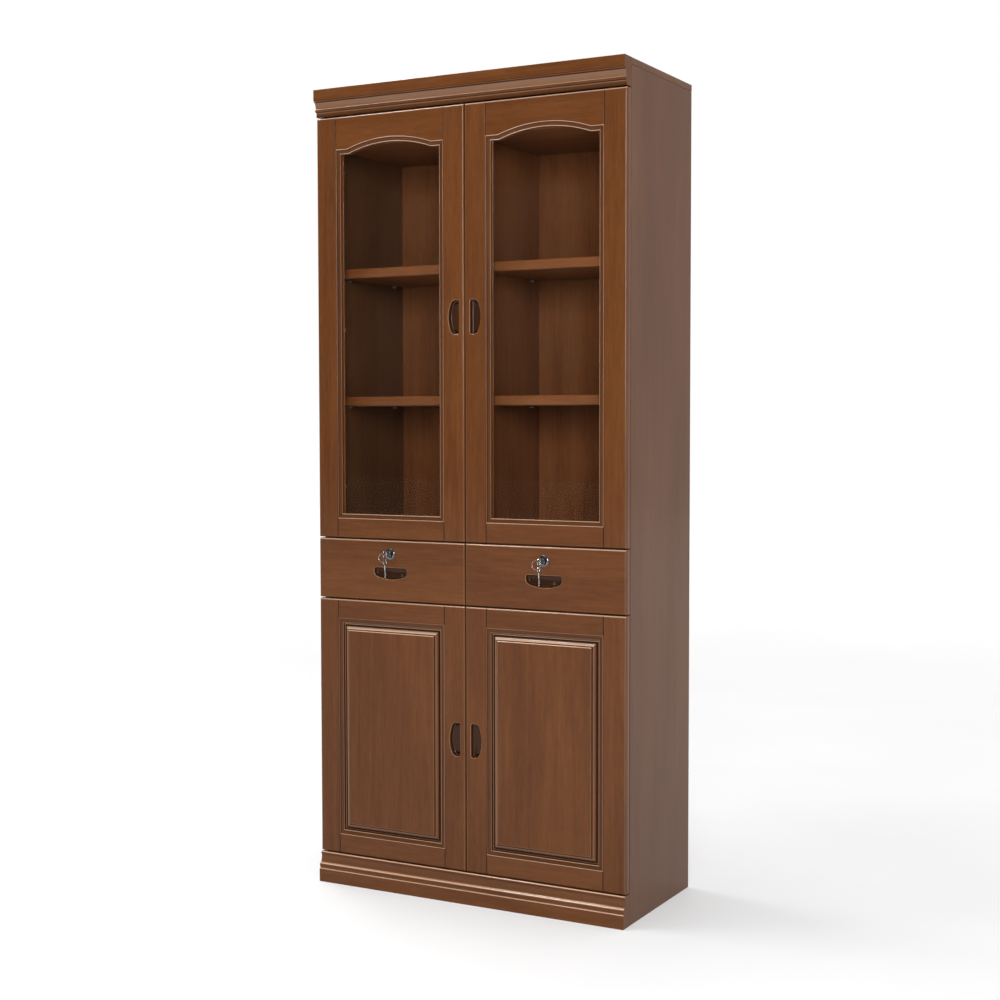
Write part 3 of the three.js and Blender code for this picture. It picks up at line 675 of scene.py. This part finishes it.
def sight_side(side, sight, grow, arch):
    """One side of an opening grown by grow, as points (x, z): straight, or for an arched head
    two shoulders with the arc of radius (c^2 + rise^2) / (2 rise) + grow between them."""
    x_low, x_high, z_low, z_high = sight + np.array([-1, 1, -1, 1]) * grow
    if side == "head" and arch:
        chord = (sight[1] - sight[0]) / 2 - arch_flat
        radius = (chord**2 + arch_rise**2) / (2 * arch_rise)
        centre = sight[3] + arch_rise - radius
        sweep = np.arccos((z_high - centre) / (radius + grow))
        angle = np.linspace(sweep, -sweep, 33)
        arc = np.stack([(x_low + x_high) / 2 + (radius + grow) * np.sin(angle),
                        centre + (radius + grow) * np.cos(angle)], -1)
        return np.concatenate([[(x_high, z_high)], arc, [(x_low, z_high)]])
    ends = {"foot": ((x_low, z_low), (x_high, z_low)), "right": ((x_high, z_low), (x_high, z_high)),
            "head": ((x_high, z_high), (x_low, z_high)), "left": ((x_low, z_high), (x_low, z_low))}
    return np.array(ends[side])


def mould_round(name, sight, outline, body, nodes, arch, finish):
    """Four mitred lengths of moulding round an opening. The section's (inset, depth, tone) is
    carried along each side, so that an end lies in the mitre where two sides meet. The painted
    highlight on the beads is scaled by side, strongest at the foot and at an arched head."""
    inset, deep, glaze = np.array(outline).T
    # How strong the painted highlight is on each side of the opening.
    side_highlight = {"foot": 0.85, "right": 0.3, "head": 0.9 if arch else 0.25, "left": 0.2}
    for side in ("foot", "right", "head", "left"):
        lines = np.stack([sight_side(side, sight, sticking - s * mm, arch) for s in inset], 1)
        rings = np.empty((*lines.shape[:2], 3))
        rings[..., [0, 2]] = lines
        rings[..., 1] = door_face + deep * mm
        upright = side in ("right", "left")
        piece(f"{name}_{side}", stack(rings), finish, body, nodes,
              2 if upright else 0,
              glaze=np.tile(np.where(glaze < 0, glaze * side_highlight[side], glaze), len(rings)))


def door_frame(door, sign, arch, pull_rise, cup_heights, outline):
    """Stiles, rails and moulding of one door, cut to the place that the frame keeps for it."""
    body, nodes = door, [door.replace("door_", "door_frame_")]
    low, high = corners(nodes[0])
    head = head_rail if arch else rail
    sight = np.array([low[0] + stile + sticking, high[0] - stile - sticking,
                      low[2] + rail + sticking, high[2] - head - sticking])
    meeting, hinged = (low[0], high[0]) if sign > 0 else (high[0], low[0])
    for part, edge, sense in (("meeting_stile", meeting, sign), ("hinge_stile", hinged, -sign)):
        x_low, x_high = sorted((edge, edge + sense * stile))
        rounds = [joint_round, joint_round, outer_round, outer_round]
        rounds[0 if sense > 0 else 1] = outer_round
        pulls, cups = [], []
        if part == "meeting_stile":
            pulls = [pull_pocket(door_pull, np.array([meeting + sign * pull_inset,
                                                      low[2] + pull_rise]),
                                 lambda along, reach: (sign * reach, along))]
        else:
            cups = [cup_pocket(hinged - sign * cup_inset, z, high[1]) for z in cup_heights]
        tones = [joint_shade, joint_shade, 0, top_highlight]
        tones[0 if sense > 0 else 1] = left_highlight if sense > 0 else right_highlight
        front_board(f"{door}_{part}", ((x_low, *low[1:]), (x_high, *high[1:])), rounds, tones,
                    body, nodes, 2, pulls, cups)
    x_low, x_high = low[0] + stile, high[0] - stile
    front_board(f"{door}_foot_rail", ((x_low, *low[1:]), (x_high, high[1], low[2] + rail)),
                [joint_round, joint_round, outer_round, square], [joint_shade, joint_shade, 0, 0],
                body, nodes, 0)
    if arch:
        arched_rail(f"{door}_head_rail", sight, high, body, nodes)
    else:
        front_board(f"{door}_head_rail", ((x_low, low[1], high[2] - rail), (x_high, *high[1:])),
                    [joint_round, joint_round, square, outer_round],
                    [joint_shade, joint_shade, 0, top_highlight], body, nodes, 0)
    mould_round(f"{door}_moulding", sight, outline, body, nodes, arch, front_wood)
    return sight


def arched_rail(name, sight, high, body, nodes):
    """A head rail between its arched underside and straight top: z = arch + t (top - arch) on a
    grid, with fall() over the top edge and the two joints, front and back joined at the rim."""
    arch = sight_side("head", sight, sticking, True)[::-1]
    ends = edge_lines(arch[0, 0], arch[-1, 0], joint_round, joint_round)
    inner = np.linspace(ends[4], ends[5], 49)[1:-1]
    x = np.concatenate([ends[:5], inner, ends[5:]])
    under = np.interp(x, arch[:, 0], arch[:, 1])
    rows = edge_lines(0, high[2] - under.min(), 0, outer_round)[5:]
    drop = high[2] - under.min() - rows
    z = np.concatenate([under[:, None], high[2] - np.tile(drop, (len(x), 1))], 1)
    u = np.tile(x[:, None], (1, z.shape[1]))
    gaps = (u - x[0], x[-1] - u, high[2] - z)
    front = door_face + np.max([fall(gap, r) for gap, r in
                                zip(gaps, (joint_round, joint_round, outer_round))], axis=0)
    back = high[1] - np.max([fall(gap, back_round) for gap in gaps], axis=0)
    sheets = [np.stack([u, sheet, z], -1) for sheet in (front, back)]
    rings = np.concatenate(sheets, 1)[:, [*range(z.shape[1]), *range(2 * z.shape[1] - 1,
                                                                     z.shape[1] - 1, -1)]]
    shape = stack(rings)
    box = (x[0], door_face, under.min()), (x[-1], *high[1:])
    tone = painted_edge_shading(shape, *box, [joint_round, joint_round, 0, outer_round],
                     [joint_shade, joint_shade, 0, top_highlight])
    piece(name, shape, front_wood, body, nodes, 0, glaze=tone)


# The rebate behind a moulding takes a little painted shade.
upper_section = worked + [(12.5, 10.0, 0.2), (4.5, 10.0, 0.0), (4.5, 21.0, 0.0), (0.0, 21.0, 0.0)]
lower_section = worked + [(12.5, 9.3, 0.6), (3.0, 9.3, 0.0), (3.0, 16.4, 0.0), (12.5, 16.4, 0.0),
                          (12.5, 21.0, 0.0), (0.0, 21.0, 0.0)]
sights = {}
for hand, sign in (("left", -1), ("right", 1)):
    for level, arch, pull_rise, outline in (("upper", True, upper_pull_rise, upper_section),
                                            ("lower", False, lower_pull_rise, lower_section)):
        door = f"{level}_door_{hand}"
        ends = [corners(f"hinge_cup_{level}_{hand}_{end}") for end in ("bottom", "top")]
        heights = [(low[2] + high[2]) / 2 for low, high in ends]
        if level == "upper":
            heights.insert(1, sum(heights) / 2)
        sights[door] = door_frame(door, sign, arch, pull_rise, heights, outline)

# ---- Glass and its beads
# Clear 4 mm panes with a wide ground bevel round the front, laid in a rebate from behind and held
# by thin wooden beads pinned to the frame.
def pane_glass(name):
    """Clear glass: it lets light straight through, and reflects a share that rises with the
    slant s from straight on, 0, to along the glass, 1: share = 0.004 + 0.9 s^5."""
    material, end, flow = new_finish(name)
    slant = flow.add("ShaderNodeLayerWeight", {}, {"Blend": 0.5}, "Facing")
    squared = slant * slant
    clear = flow.add("ShaderNodeBsdfTransparent", {}, {"Color": (0.93, 0.945, 0.94, 1)})
    gloss = flow.add("ShaderNodeBsdfGlossy", {}, {"Color": (1, 1, 1, 1), "Roughness": 0.02})
    glass = flow.add(
        "ShaderNodeMixShader", {}, {0: squared * squared * slant * 0.9 + 0.004, 1: clear, 2: gloss})
    material.node_tree.links.new(glass.socket, end.inputs["Surface"])
    return material


glass_finish = pane_glass("clear_glass")
bevel_width = 13 * mm
glass_edge = 7 * mm            # how far the pane reaches under the moulding
holding = [(4.8, 14.6, 0.0), (11.0, 14.6, 0.0), (12.2, 15.4, 0.0), (12.4, 17.0, 0.0),
           (11.6, 19.6, 0.0), (9.0, 21.4, 0.0), (4.8, 21.6, 0.0)]
for hand in ("left", "right"):
    door = f"upper_door_{hand}"
    low, high = corners(f"upper_door_glass_{hand}")
    sight = sights[door]

    def outline(grow):
        """The whole edge of the opening, grown by grow, as points (x, z)."""
        sides = [sight_side(side, sight, grow, True)[:-1]
                 for side in ("foot", "right", "head", "left")]
        return np.concatenate(sides)

    rings = []
    for grow, y in ((glass_edge - 0.4 * mm, high[1]), (glass_edge, high[1] - 0.4 * mm),
                    (glass_edge, low[1] + 1.6 * mm), (glass_edge - 0.3 * mm, low[1] + 1.3 * mm),
                    (glass_edge - bevel_width, low[1] + 0.03 * mm),
                    (glass_edge - bevel_width - 0.6 * mm, low[1])):
        loop = outline(grow)
        rings.append(np.stack([loop[:, 0], np.full(len(loop), y), loop[:, 1]], -1))
    piece(f"{door}_pane", stack(np.array(rings)), glass_finish, door,
          [f"upper_door_glass_{hand}"])
    mould_round(f"{door}_bead", sight, holding, door, [], True, inside_wood_painted_light)

# ---- Raised panels
# A solid panel floats in a groove of each lower door. Its field is raised by a worked margin: a
# small lip, a deep quirk, a broad rounded shoulder and a fine step up to the field.
# Each margin point is (inset, depth, tone): painted shade in the quirks and steps, painted highlight
# on the lip, the shoulder and the step to the field.
margin = ([(-8.0, 15.6, 0.0), (-8.0, 9.9, 0.0), (0.4, 9.7, 0.8), (1.2, 7.6, 0.6)]
          + [(*point, -0.5) for point in bend((1.6, 7.0), (2.4, 5.9), (3.4, 7.0), 4)]
          + [(4.4, 8.8, 1.0), (7.0, 9.0, 1.0)]
          + [(*point, -0.1 * step) for step, point in
             enumerate(bend((7.6, 7.4), (8.6, 2.2), (14.6, 1.0), 10))]
          + [(15.4, 1.9, 0.8), (16.4, 1.9, 0.8), (16.9, 0.6, 0.2)]
          + [(*point, -0.8) for point in bend((17.1, -0.6), (17.4, -1.9), (19.4, -2.0), 4)[:3]]
          + [(19.4, -2.0, 0.0), (21.0, -2.0, 0.0)])
# The painted highlight is scaled by side of the ring, strongest along the top where the margin faces
# up.
panel_highlight_by_side = np.array([0.15] * 4 + [0.1] * 2 + [1] * 4 + [0.3] * 2)
support = 1.5 * mm             # from a corner of a ring to the next point
for hand in ("left", "right"):
    door = f"lower_door_{hand}"
    inset, deep, glaze = np.array(margin).T
    tone = np.where(glaze < 0, np.outer(panel_highlight_by_side, glaze), glaze).T
    x_low, x_high, z_low, z_high = sights[door]
    rings = np.empty((len(inset), 12, 3))
    for ring, s, depth in zip(rings, inset * mm, deep * mm):
        xs = np.array([x_low + s, x_low + s + support, x_high - s - support, x_high - s])
        zs = np.array([z_low + s, z_low + s + support, z_high - s - support, z_high - s])
        ring[:, 0] = xs[[0, 1, 2, 3, 3, 3, 3, 2, 1, 0, 0, 0]]
        ring[:, 2] = zs[[0, 0, 0, 0, 1, 2, 3, 3, 3, 3, 2, 1]]
        ring[:, 1] = door_face + depth
    piece(f"{door}_panel", stack(rings), front_wood, door,
          [f"lower_door_panel_{hand}"], 2, glaze=tone)

# ---- Drawers
# A solid front with a pull cut into it, screwed to a box of two sides and a back with a thin
# bottom let into grooves. The box runs on steel slides.
drawer_bottom_raise = 10 * mm
drawer_bottom_thick = 4 * mm
drawer_side_thick = 12 * mm
drawer_back_drop = 6 * mm
drawer_back_raise = 14.2 * mm
drawer_pull_drop = 68 * mm     # from the top of the front to the straight side of its pull
groove = 4 * mm
drawer_wood = stained_wood(
    "drawer_wood", (0.210, 0.105, 0.048), (0.300, 0.160, 0.078), (0.370, 0.210, 0.110), 0.40)
for hand in ("left", "right"):
    drawer = f"drawer_{hand}"
    low, high = corners(f"drawer_front_{hand}")
    pull = pull_pocket(drawer_pull, np.array([(low[0] + high[0]) / 2, high[2] - drawer_pull_drop]),
                       lambda along, reach: (along, -reach))
    front_board(f"{drawer}_front_board", (low, high), [outer_round] * 4,
                [left_highlight, right_highlight, 0, top_highlight], drawer, [f"drawer_front_{hand}"], 0, [pull])
    low, high = corners(f"drawer_box_{hand}")
    for side, x_low in (("left", low[0]), ("right", high[0] - drawer_side_thick)):
        piece(f"{drawer}_side_{side}", slab((x_low, low[1], low[2]),
              (x_low + drawer_side_thick, high[1], high[2]), 0, [arris] * 4, arris),
              drawer_wood, drawer, [f"drawer_box_{hand}"], 1)
    inner = np.array([low[0] + drawer_side_thick, high[0] - drawer_side_thick])
    piece(f"{drawer}_back", slab((inner[0], high[1] - drawer_side_thick, low[2] + drawer_back_raise),
          (inner[1], high[1], high[2] - drawer_back_drop), 1, [arris] * 4, arris),
          drawer_wood, drawer, (), 0)
    piece(f"{drawer}_bottom", slab(
        (inner[0] - groove, low[1], low[2] + drawer_bottom_raise),
        (inner[1] + groove, high[1] - 1 * mm, low[2] + drawer_bottom_raise + drawer_bottom_thick),
        2, [arris / 2] * 4, arris / 2), drawer_wood, drawer, (), 0)

# ---- Locks, keys and key rings
# A nickel-plated cam lock in each drawer front: rosette and head outside, barrel and nut behind,
# a plug that the key turns, and a split ring that carries the spare key.
nickel = speckled("nickel", (0.54, 0.54, 0.531), (0.60, 0.60, 0.59), 700.0, 2.0, 0.10, 0.10, 1.0)
# The same nickel painted dark for the lock and plug: a painted dark reflection of the dim room in
# front of them.
nickel_painted_dark = speckled("nickel_painted_dark", (0.135, 0.135, 0.1395), (0.15, 0.15, 0.155), 700.0, 2.0,
                       0.10, 0.10, 1.0)
lock_profile = [
    (5.8, 0.8), (6.4, 0.1), (7.9, 0.0), (8.7, 0.3), (9.0, 1.0), (9.0, 7.0), (9.3, 7.8),
    (10.6, 8.0), (12.4, 8.4), (13.6, 9.4), (14.0, 10.9), (9.5, 10.9), (9.5, 41.0), (5.8, 41.0)]
nut_profile = [(9.7, 0), (12.8, 0), (13.8, 0.6), (13.8, 4.2), (12.8, 4.8), (9.7, 4.8)]
nut_setback = 33.3 * mm        # from the face of the lock to its nut, behind the front
slot_half = np.array([1.3, 3.8]) * mm
cam_overlap = 6 * mm           # how far the cam reaches past the middle of the plug
bow_proud = 12 * mm            # middle of the key bow, in front of the lock
bow_radius, bow_hole = 10.0, 4.6
spare_radius, spare_hole = 8.0, 3.6
ring_radius = 11.0 * mm
wire = 0.42 * mm


def key_bow(centre, radius, hole):
    """A round key bow in a plane across X, with a hole and softened edges, turned about X."""
    profile = [(hole, -0.6), (hole, 0.6), (hole + 0.4, 1.0), (radius - 2.2, 1.0),
               (radius - 1.6, 0.7), (radius - 0.9, 0.9), (radius - 0.3, 0.7), (radius, 0.3),
               (radius, -0.3), (radius - 0.3, -0.7), (radius - 0.9, -0.9), (radius - 1.6, -0.7),
               (radius - 2.2, -1.0), (hole + 0.4, -1.0)]
    return stack(turned(0, centre, np.array(profile) * mm, 40), closed=True)


def key_blade(centre, start, length, width, down):
    """A flat key blade with bitting cut along one edge. Its outline is carried through its
    thickness, a little smaller at both cheeks. With down it hangs instead of pointing in."""
    along = np.concatenate([[0.0], np.linspace(0.35, 0.9, 9), [1.0]]) * length
    cuts = np.array([0, 0, 1.4, 0.5, 1.9, 0.9, 1.5, 0.4, 1.7, 0.6, 1.2]) * mm
    lower = np.stack([start + along, -width / 2 + cuts], -1)
    upper = np.stack([start + along[::-1], np.full(len(along), width / 2)], -1)
    outline = np.concatenate([lower, upper])
    middle = outline.mean(0)
    rings = np.empty((4, len(outline), 3))
    for ring, x, share in zip(rings, (-1.0, -0.75, 0.75, 1.0), (0.96, 1.0, 1.0, 0.96)):
        flat = middle + (outline - middle) * share
        ring[:, 0] = centre[0] + x * mm
        ring[:, 1] = centre[1] + (flat[:, 1] if down else flat[:, 0])
        ring[:, 2] = centre[2] + (-flat[:, 0] if down else flat[:, 1])
    return stack(rings)


for hand in ("left", "right"):
    low, high = corners(f"lock_body_{hand}")
    x, z = (low[0] + high[0]) / 2, (low[2] + high[2]) / 2
    head = np.array([x, low[1], z])
    body = f"drawer_{hand}"
    piece(f"{body}_lock", stack(turned(1, head, np.array(lock_profile) * mm, 48), closed=True),
          nickel_painted_dark, body, [f"lock_body_{hand}"])
    behind_front = head + (0, nut_setback, 0)
    steel(f"{body}_lock_nut", stack(turned(1, behind_front, np.array(nut_profile) * mm, 6),
                                    closed=True), body)

    turning = f"key_{hand}"
    cam_low, cam_high = corners(f"lock_plug_with_cam_{hand}")
    angle = np.linspace(0, 2 * np.pi, 32, endpoint=False)
    with np.errstate(divide="ignore"):
        slot_edge = np.minimum(slot_half[0] / np.abs(np.cos(angle)),
                               slot_half[1] / np.abs(np.sin(angle)))
    reach_out = np.array([[0.3 * mm], [5.4 * mm], [5.4 * mm], [5.0 * mm], [0], [0]]) * np.ones(32)
    reach_out[4:] = slot_edge
    plug_y = np.array([43.8, 43.8, 0.9, 0.5, 0.5, 21.0]) * mm
    rings = np.stack([x + reach_out * np.cos(angle), np.tile((head[1] + plug_y)[:, None], 32),
                      z + reach_out * np.sin(angle)], -1)
    piece(f"{turning}_plug", stack(rings), nickel_painted_dark, turning,
          [f"lock_plug_with_cam_{hand}"])
    steel(f"{turning}_cam", slab((cam_low[0], cam_high[1] - cam_thick, z - cam_half),
          (x + cam_overlap, cam_high[1], z + cam_half), 1, [1 * mm] * 4, 0.5 * mm), turning)
    bow_middle = np.array([x, head[1] - bow_proud, z])
    piece(f"{turning}_bow", key_bow(bow_middle, bow_radius, bow_hole), nickel, turning,
          [f"key_{hand}"])
    piece(f"{turning}_blade", key_blade(bow_middle, 9 * mm, 22 * mm, 7 * mm, False), nickel,
          turning)

    swinging = f"key_ring_{hand}"
    ring_middle = bow_middle - ring_radius * np.array([np.sqrt(0.5), 0, np.sqrt(0.5)])
    turns = np.linspace(0, 4 * np.pi, 129)
    lead = wire * np.tanh((turns - 2 * np.pi) * 3)
    outward = np.stack([np.cos(turns), 0 * turns, np.sin(turns)], -1)
    path = ring_middle + ring_radius * outward + lead[:, None] * (0, 1, 0)
    around = np.linspace(0, 2 * np.pi, 8, endpoint=False)[:, None]
    tube = [point + wire * (np.cos(around) * out + np.sin(around) * (0, 1, 0))
            for point, out in zip(path, outward)]
    piece(f"{swinging}_ring", stack(np.array(tube)), nickel, swinging,
          [f"key_ring_with_spare_{hand}"])
    crossing = bow_middle[2] - 2 * ring_radius * np.sqrt(0.5)
    spare = np.array([x, bow_middle[1], crossing + (0.5 - spare_hole) * mm])
    piece(f"{swinging}_spare_bow", key_bow(spare, spare_radius, spare_hole), nickel, swinging)
    piece(f"{swinging}_spare_blade", key_blade(spare, 7 * mm, 31 * mm, 5 * mm, True), nickel,
          swinging)

# ---- Concealed hinges
# Cup hinges of zinc-plated steel. The cup is let into the back of the door, and its arm is
# screwed to a plate on the side. Upper doors have a third hinge halfway up.
half_width = corners("side_panel_right")[1][0]
side_thick = half_width - corners("side_panel_right")[0][0]
pivot_inset = 10 * mm
barrel_radius = 2.2 * mm
arm_setback = 30 * mm          # flat of the arm, from the outside of the cabinet
arm_half = 5 * mm
plate_length = 44 * mm
plate_gap = 2.6 * mm           # from the side to the foot of the arm
cup_profile = [(0.4, -13.9), (13.4, -13.9), (16.6, -13.2), (17.4, -12.0), (17.4, 0.2), (16.7, 0.2),
               (16.7, -11.9), (15.9, -12.8), (13.2, -13.2), (0.4, -13.2)]
head_profile = [(0.3, 0.2), (1.1, 0.5), (1.3, 1.0), (2.6, 1.0), (3.5, 0.5), (3.7, -0.4), (0.3, -0.4)]


def flange(centre):
    """The oval rim of a cup: rings in polar form, r = max(19.5, min(8 / |cos|, 26 / |sin|)) mm."""
    angle = np.linspace(0, 2 * np.pi, 64, endpoint=False) + 0.02
    wing = np.minimum(8 / np.abs(np.cos(angle)), 26 / np.abs(np.sin(angle)))
    outer = np.maximum(19.5, wing)
    inner = np.full(64, 16.75)
    rings = np.empty((5, 64, 3))
    for ring, radius, y in zip(rings, (inner, outer, outer, outer - 0.4, inner),
                               (0.1, 0.1, 0.9, 1.3, 1.3)):
        ring[:, 0] = centre[0] + radius * mm * np.cos(angle)
        ring[:, 1] = centre[1] + y * mm
        ring[:, 2] = centre[2] + radius * mm * np.sin(angle)
    return stack(rings, closed=True)


def rising(outline, low, high, ease):
    """An outline in X and Y carried up Z, P = m + s (p - m), a little smaller at both ends."""
    middle = outline.mean(0)
    rings = np.empty((4, len(outline), 3))
    levels = (low, low + ease, high - ease, high)
    for ring, z, share in zip(rings, levels, (0.97, 1, 1, 0.97)):
        ring[:, :2] = middle + (outline - middle) * share
        ring[:, 2] = z
    return stack(rings)


def screw(name, axis, centre, sense, body):
    """A pan-headed screw with a dished recess, standing on a face along an axis."""
    profile = [(radius * mm, sense * rise * mm) for radius, rise in head_profile]
    steel(name, stack(turned(axis, centre, profile, 16)), body)


def hinge(name, door, sign, z, door_back, front, back, nodes):
    """One hinge: cup, rim, pin and screws on the door, arm and plate on the side."""
    def at(inset):
        return sign * (half_width - inset)

    cup = np.array([at(cup_inset), door_back, z])
    pivot = (at(pivot_inset), front + barrel_radius, z)
    steel(f"{name}_cup", stack(turned(1, cup, np.array(cup_profile) * mm, 40), closed=True),
          door, nodes[:1])
    steel(f"{name}_rim", flange(cup), door, nodes[:1])
    pin = [(0.2, -10.6), (1.0, -10.6), (1.1, -10.4), (1.1, 10.4), (1.0, 10.6), (0.2, 10.6)]
    steel(f"{name}_pin", stack(turned(2, pivot, np.array(pin) * mm, 12)), door)
    for end, rise in (("low", -22.5 * mm), ("high", 22.5 * mm)):
        screw(f"{name}_cup_screw_{end}", 1, cup + (0, 1.5 * mm, rise), 1, door)

    plate_front = back - plate_length
    outline = np.array([
        (at(pivot_inset), pivot[1] - 1 * mm), (at(arm_setback), pivot[1] - 1 * mm),
        (at(arm_setback), back - 4 * mm), (at(side_thick + plate_gap), back - 4 * mm),
        (at(side_thick + plate_gap), plate_front), (at(24 * mm), plate_front),
        (at(24 * mm), pivot[1] + 1.6 * mm), (at(pivot_inset), pivot[1] + 1.6 * mm)])
    arm = eased(outline, np.array([0.8, 3, 2, 1, 1, 1, 0.4, 0.8]) * mm, 4)
    steel(f"{name}_arm", rising(arm, z - arm_half, z + arm_half, 0.6 * mm), "carcass", nodes[1:])
    barrel = np.array([(1.3, -5), (2.0, -5), (2.2, -4.7), (2.2, 4.7), (2.0, 5), (1.3, 5)]) * mm
    steel(f"{name}_barrel", stack(turned(2, pivot, barrel, 20), closed=True), "carcass")
    x_low, x_high = sorted((at(side_thick + 0.1 * mm), at(side_thick + 2.5 * mm)))
    for part, y_low, y_high, half in (("plate", plate_front, back, 8 * mm),
                                      ("wing", plate_front + 14 * mm, back - 14 * mm, 25 * mm)):
        steel(f"{name}_{part}", slab((x_low, y_low, z - half), (x_high, y_high, z + half), 0,
                                     [0.5 * mm] * 4, 0.5 * mm), "carcass", nodes[1:])
    for end, rise in (("low", -18 * mm), ("high", 18 * mm)):
        screw(f"{name}_plate_screw_{end}", 0,
              (at(side_thick + 2.9 * mm), back - plate_length / 2, z + rise), -sign, "carcass")
    for end, inward in (("front", 30 * mm), ("back", 12 * mm)):
        screw(f"{name}_arm_screw_{end}", 0, (at(arm_setback + 0.4 * mm), back - inward, z), -sign,
              "carcass")


for hand, sign in (("left", -1), ("right", 1)):
    for level in ("upper", "lower"):
        door = f"{level}_door_{hand}"
        door_back = corners(f"{level}_door_frame_{hand}")[1][1]
        heights = []
        for end in ("bottom", "top"):
            arm_node = f"hinge_arm_{level}_{hand}_{end}"
            low, high = corners(arm_node)
            heights.append((low[2] + high[2]) / 2)
            hinge(f"{door}_hinge_{end}", door, sign, heights[-1], door_back, low[1], high[1],
                  [f"hinge_cup_{level}_{hand}_{end}", arm_node])
        if level == "upper":
            hinge(f"{door}_hinge_middle", door, sign, sum(heights) / 2, door_back, low[1],
                  high[1], [])

# ---- Drawer slides
# Pressed steel channels screwed to the sides and the divider, and a narrower member on each side
# of a drawer that runs inside them.
for node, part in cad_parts.items():
    if node.startswith("slide_channel_"):
        for held in part.material_slots:
            held.material = zinc
member = [(12.5, -15.5), (12.5, 15.5), (4.0, 15.5), (4.0, 14.3), (11.3, 14.3), (11.3, -14.3),
          (4.0, -14.3), (4.0, -15.5)]
member_bends = [1.5, 1.5, 0.5, 0.5, 1, 1, 0.5, 0.5]
for hand, sign in (("left", -1), ("right", 1)):
    for side, inward in (("outer", -sign), ("inner", sign)):
        low, high = corners(f"slide_channel_{hand}_{side}")
        wall = (high[0] if inward < 0 else low[0]) - inward * 0.3 * mm
        middle = (low[2] + high[2]) / 2
        outline = eased(np.array(member) * mm, np.array(member_bends) * mm, 3)
        rings = np.empty((2, len(outline), 3))
        rings[..., 0] = wall + inward * outline[:, 0]
        rings[..., 1] = np.array([[low[1] + 1 * mm], [high[1] - 1 * mm]])
        rings[..., 2] = middle + outline[:, 1]
        steel(f"drawer_{hand}_slide_member_{side}", stack(rings), f"drawer_{hand}")
        for where, along in (("front", 0.12), ("middle", 0.5), ("back", 0.88)):
            y = low[1] + along * (high[1] - low[1])
            screw(f"slide_{hand}_{side}_screw_{where}", 0,
                  (wall + inward * 2.3 * mm, y, middle), inward, "carcass")

# ---- Pins in the back
# Flat-headed steel pins hold the thin back to the decks behind it.
low, high = corners("back_panel")
end_gap = 60 * mm
pin_head = np.array([(0.3, -0.6), (1.6, -0.6), (3.0, 0.1), (2.8, 0.5), (0.3, 0.6)]) * mm
for board in ("bottom_board", "deck_below_drawers", "deck_above_drawers", "ceiling_board"):
    board_low, board_high = corners(board)
    for count, x in enumerate(np.linspace(low[0] + end_gap, high[0] - end_gap, 6)):
        centre = (x, high[1], (board_low[2] + board_high[2]) / 2)
        steel(f"{board}_pin_{count}", stack(turned(1, centre, pin_head, 12)), "carcass")

# ---- Plinth rail
# A board between the side panels, under the bottom board. It stands on the floor and carries
# the front of the cabinet behind the base moulding.
rail_low, rail_high = corners("top_rail")
board_low = corners("bottom_board")[0]
rail_low[2], rail_high[2] = 0.0, board_low[2]
piece("plinth_rail", slab(rail_low, rail_high, 1, [arris / 2] * 4, arris / 2), inside_wood_painted_light,
      "carcass", [], 0)

# ---- Door bumpers
# Small brown felt dots stuck to the back of each door near its free corners. They meet the front
# edges of the boards when the door shuts.
felt = speckled("brown_felt", (0.045, 0.022, 0.012), (0.12, 0.065, 0.038), 2500.0, 3.0, 0.85, 0.1,
                0.0, (0.5, 0.0002))
bumper_radius = 4 * mm
bumper_inset = 45 * mm         # from the middle of the cabinet
bumper_sunk = 0.2 * mm         # the glue side, pressed a little into the door
boards_met = {"upper": ("deck_above_drawers", "top_rail"),
              "lower": ("bottom_board", "deck_below_drawers")}
for level, boards in boards_met.items():
    for hand, sign in (("left", -1), ("right", 1)):
        door_low, door_high = corners(f"{level}_door_frame_{hand}")
        for where, board in zip(("foot", "head"), boards):
            board_low, board_high = corners(board)
            met_low, met_high = max(door_low[2], board_low[2]), min(door_high[2], board_high[2])
            gap = board_low[1] - door_high[1]
            dot = [(0.05 * bumper_radius, -bumper_sunk), (bumper_radius, -bumper_sunk),
                   (bumper_radius, 0.6 * gap), (0.9 * bumper_radius, 0.9 * gap),
                   (0.7 * bumper_radius, gap), (0.05 * bumper_radius, gap)]
            centre = (sign * bumper_inset, door_high[1], (met_low + met_high) / 2)
            piece(f"{level}_door_{hand}_bumper_{where}", stack(turned(1, centre, dot, 24)), felt,
                  f"{level}_door_{hand}")
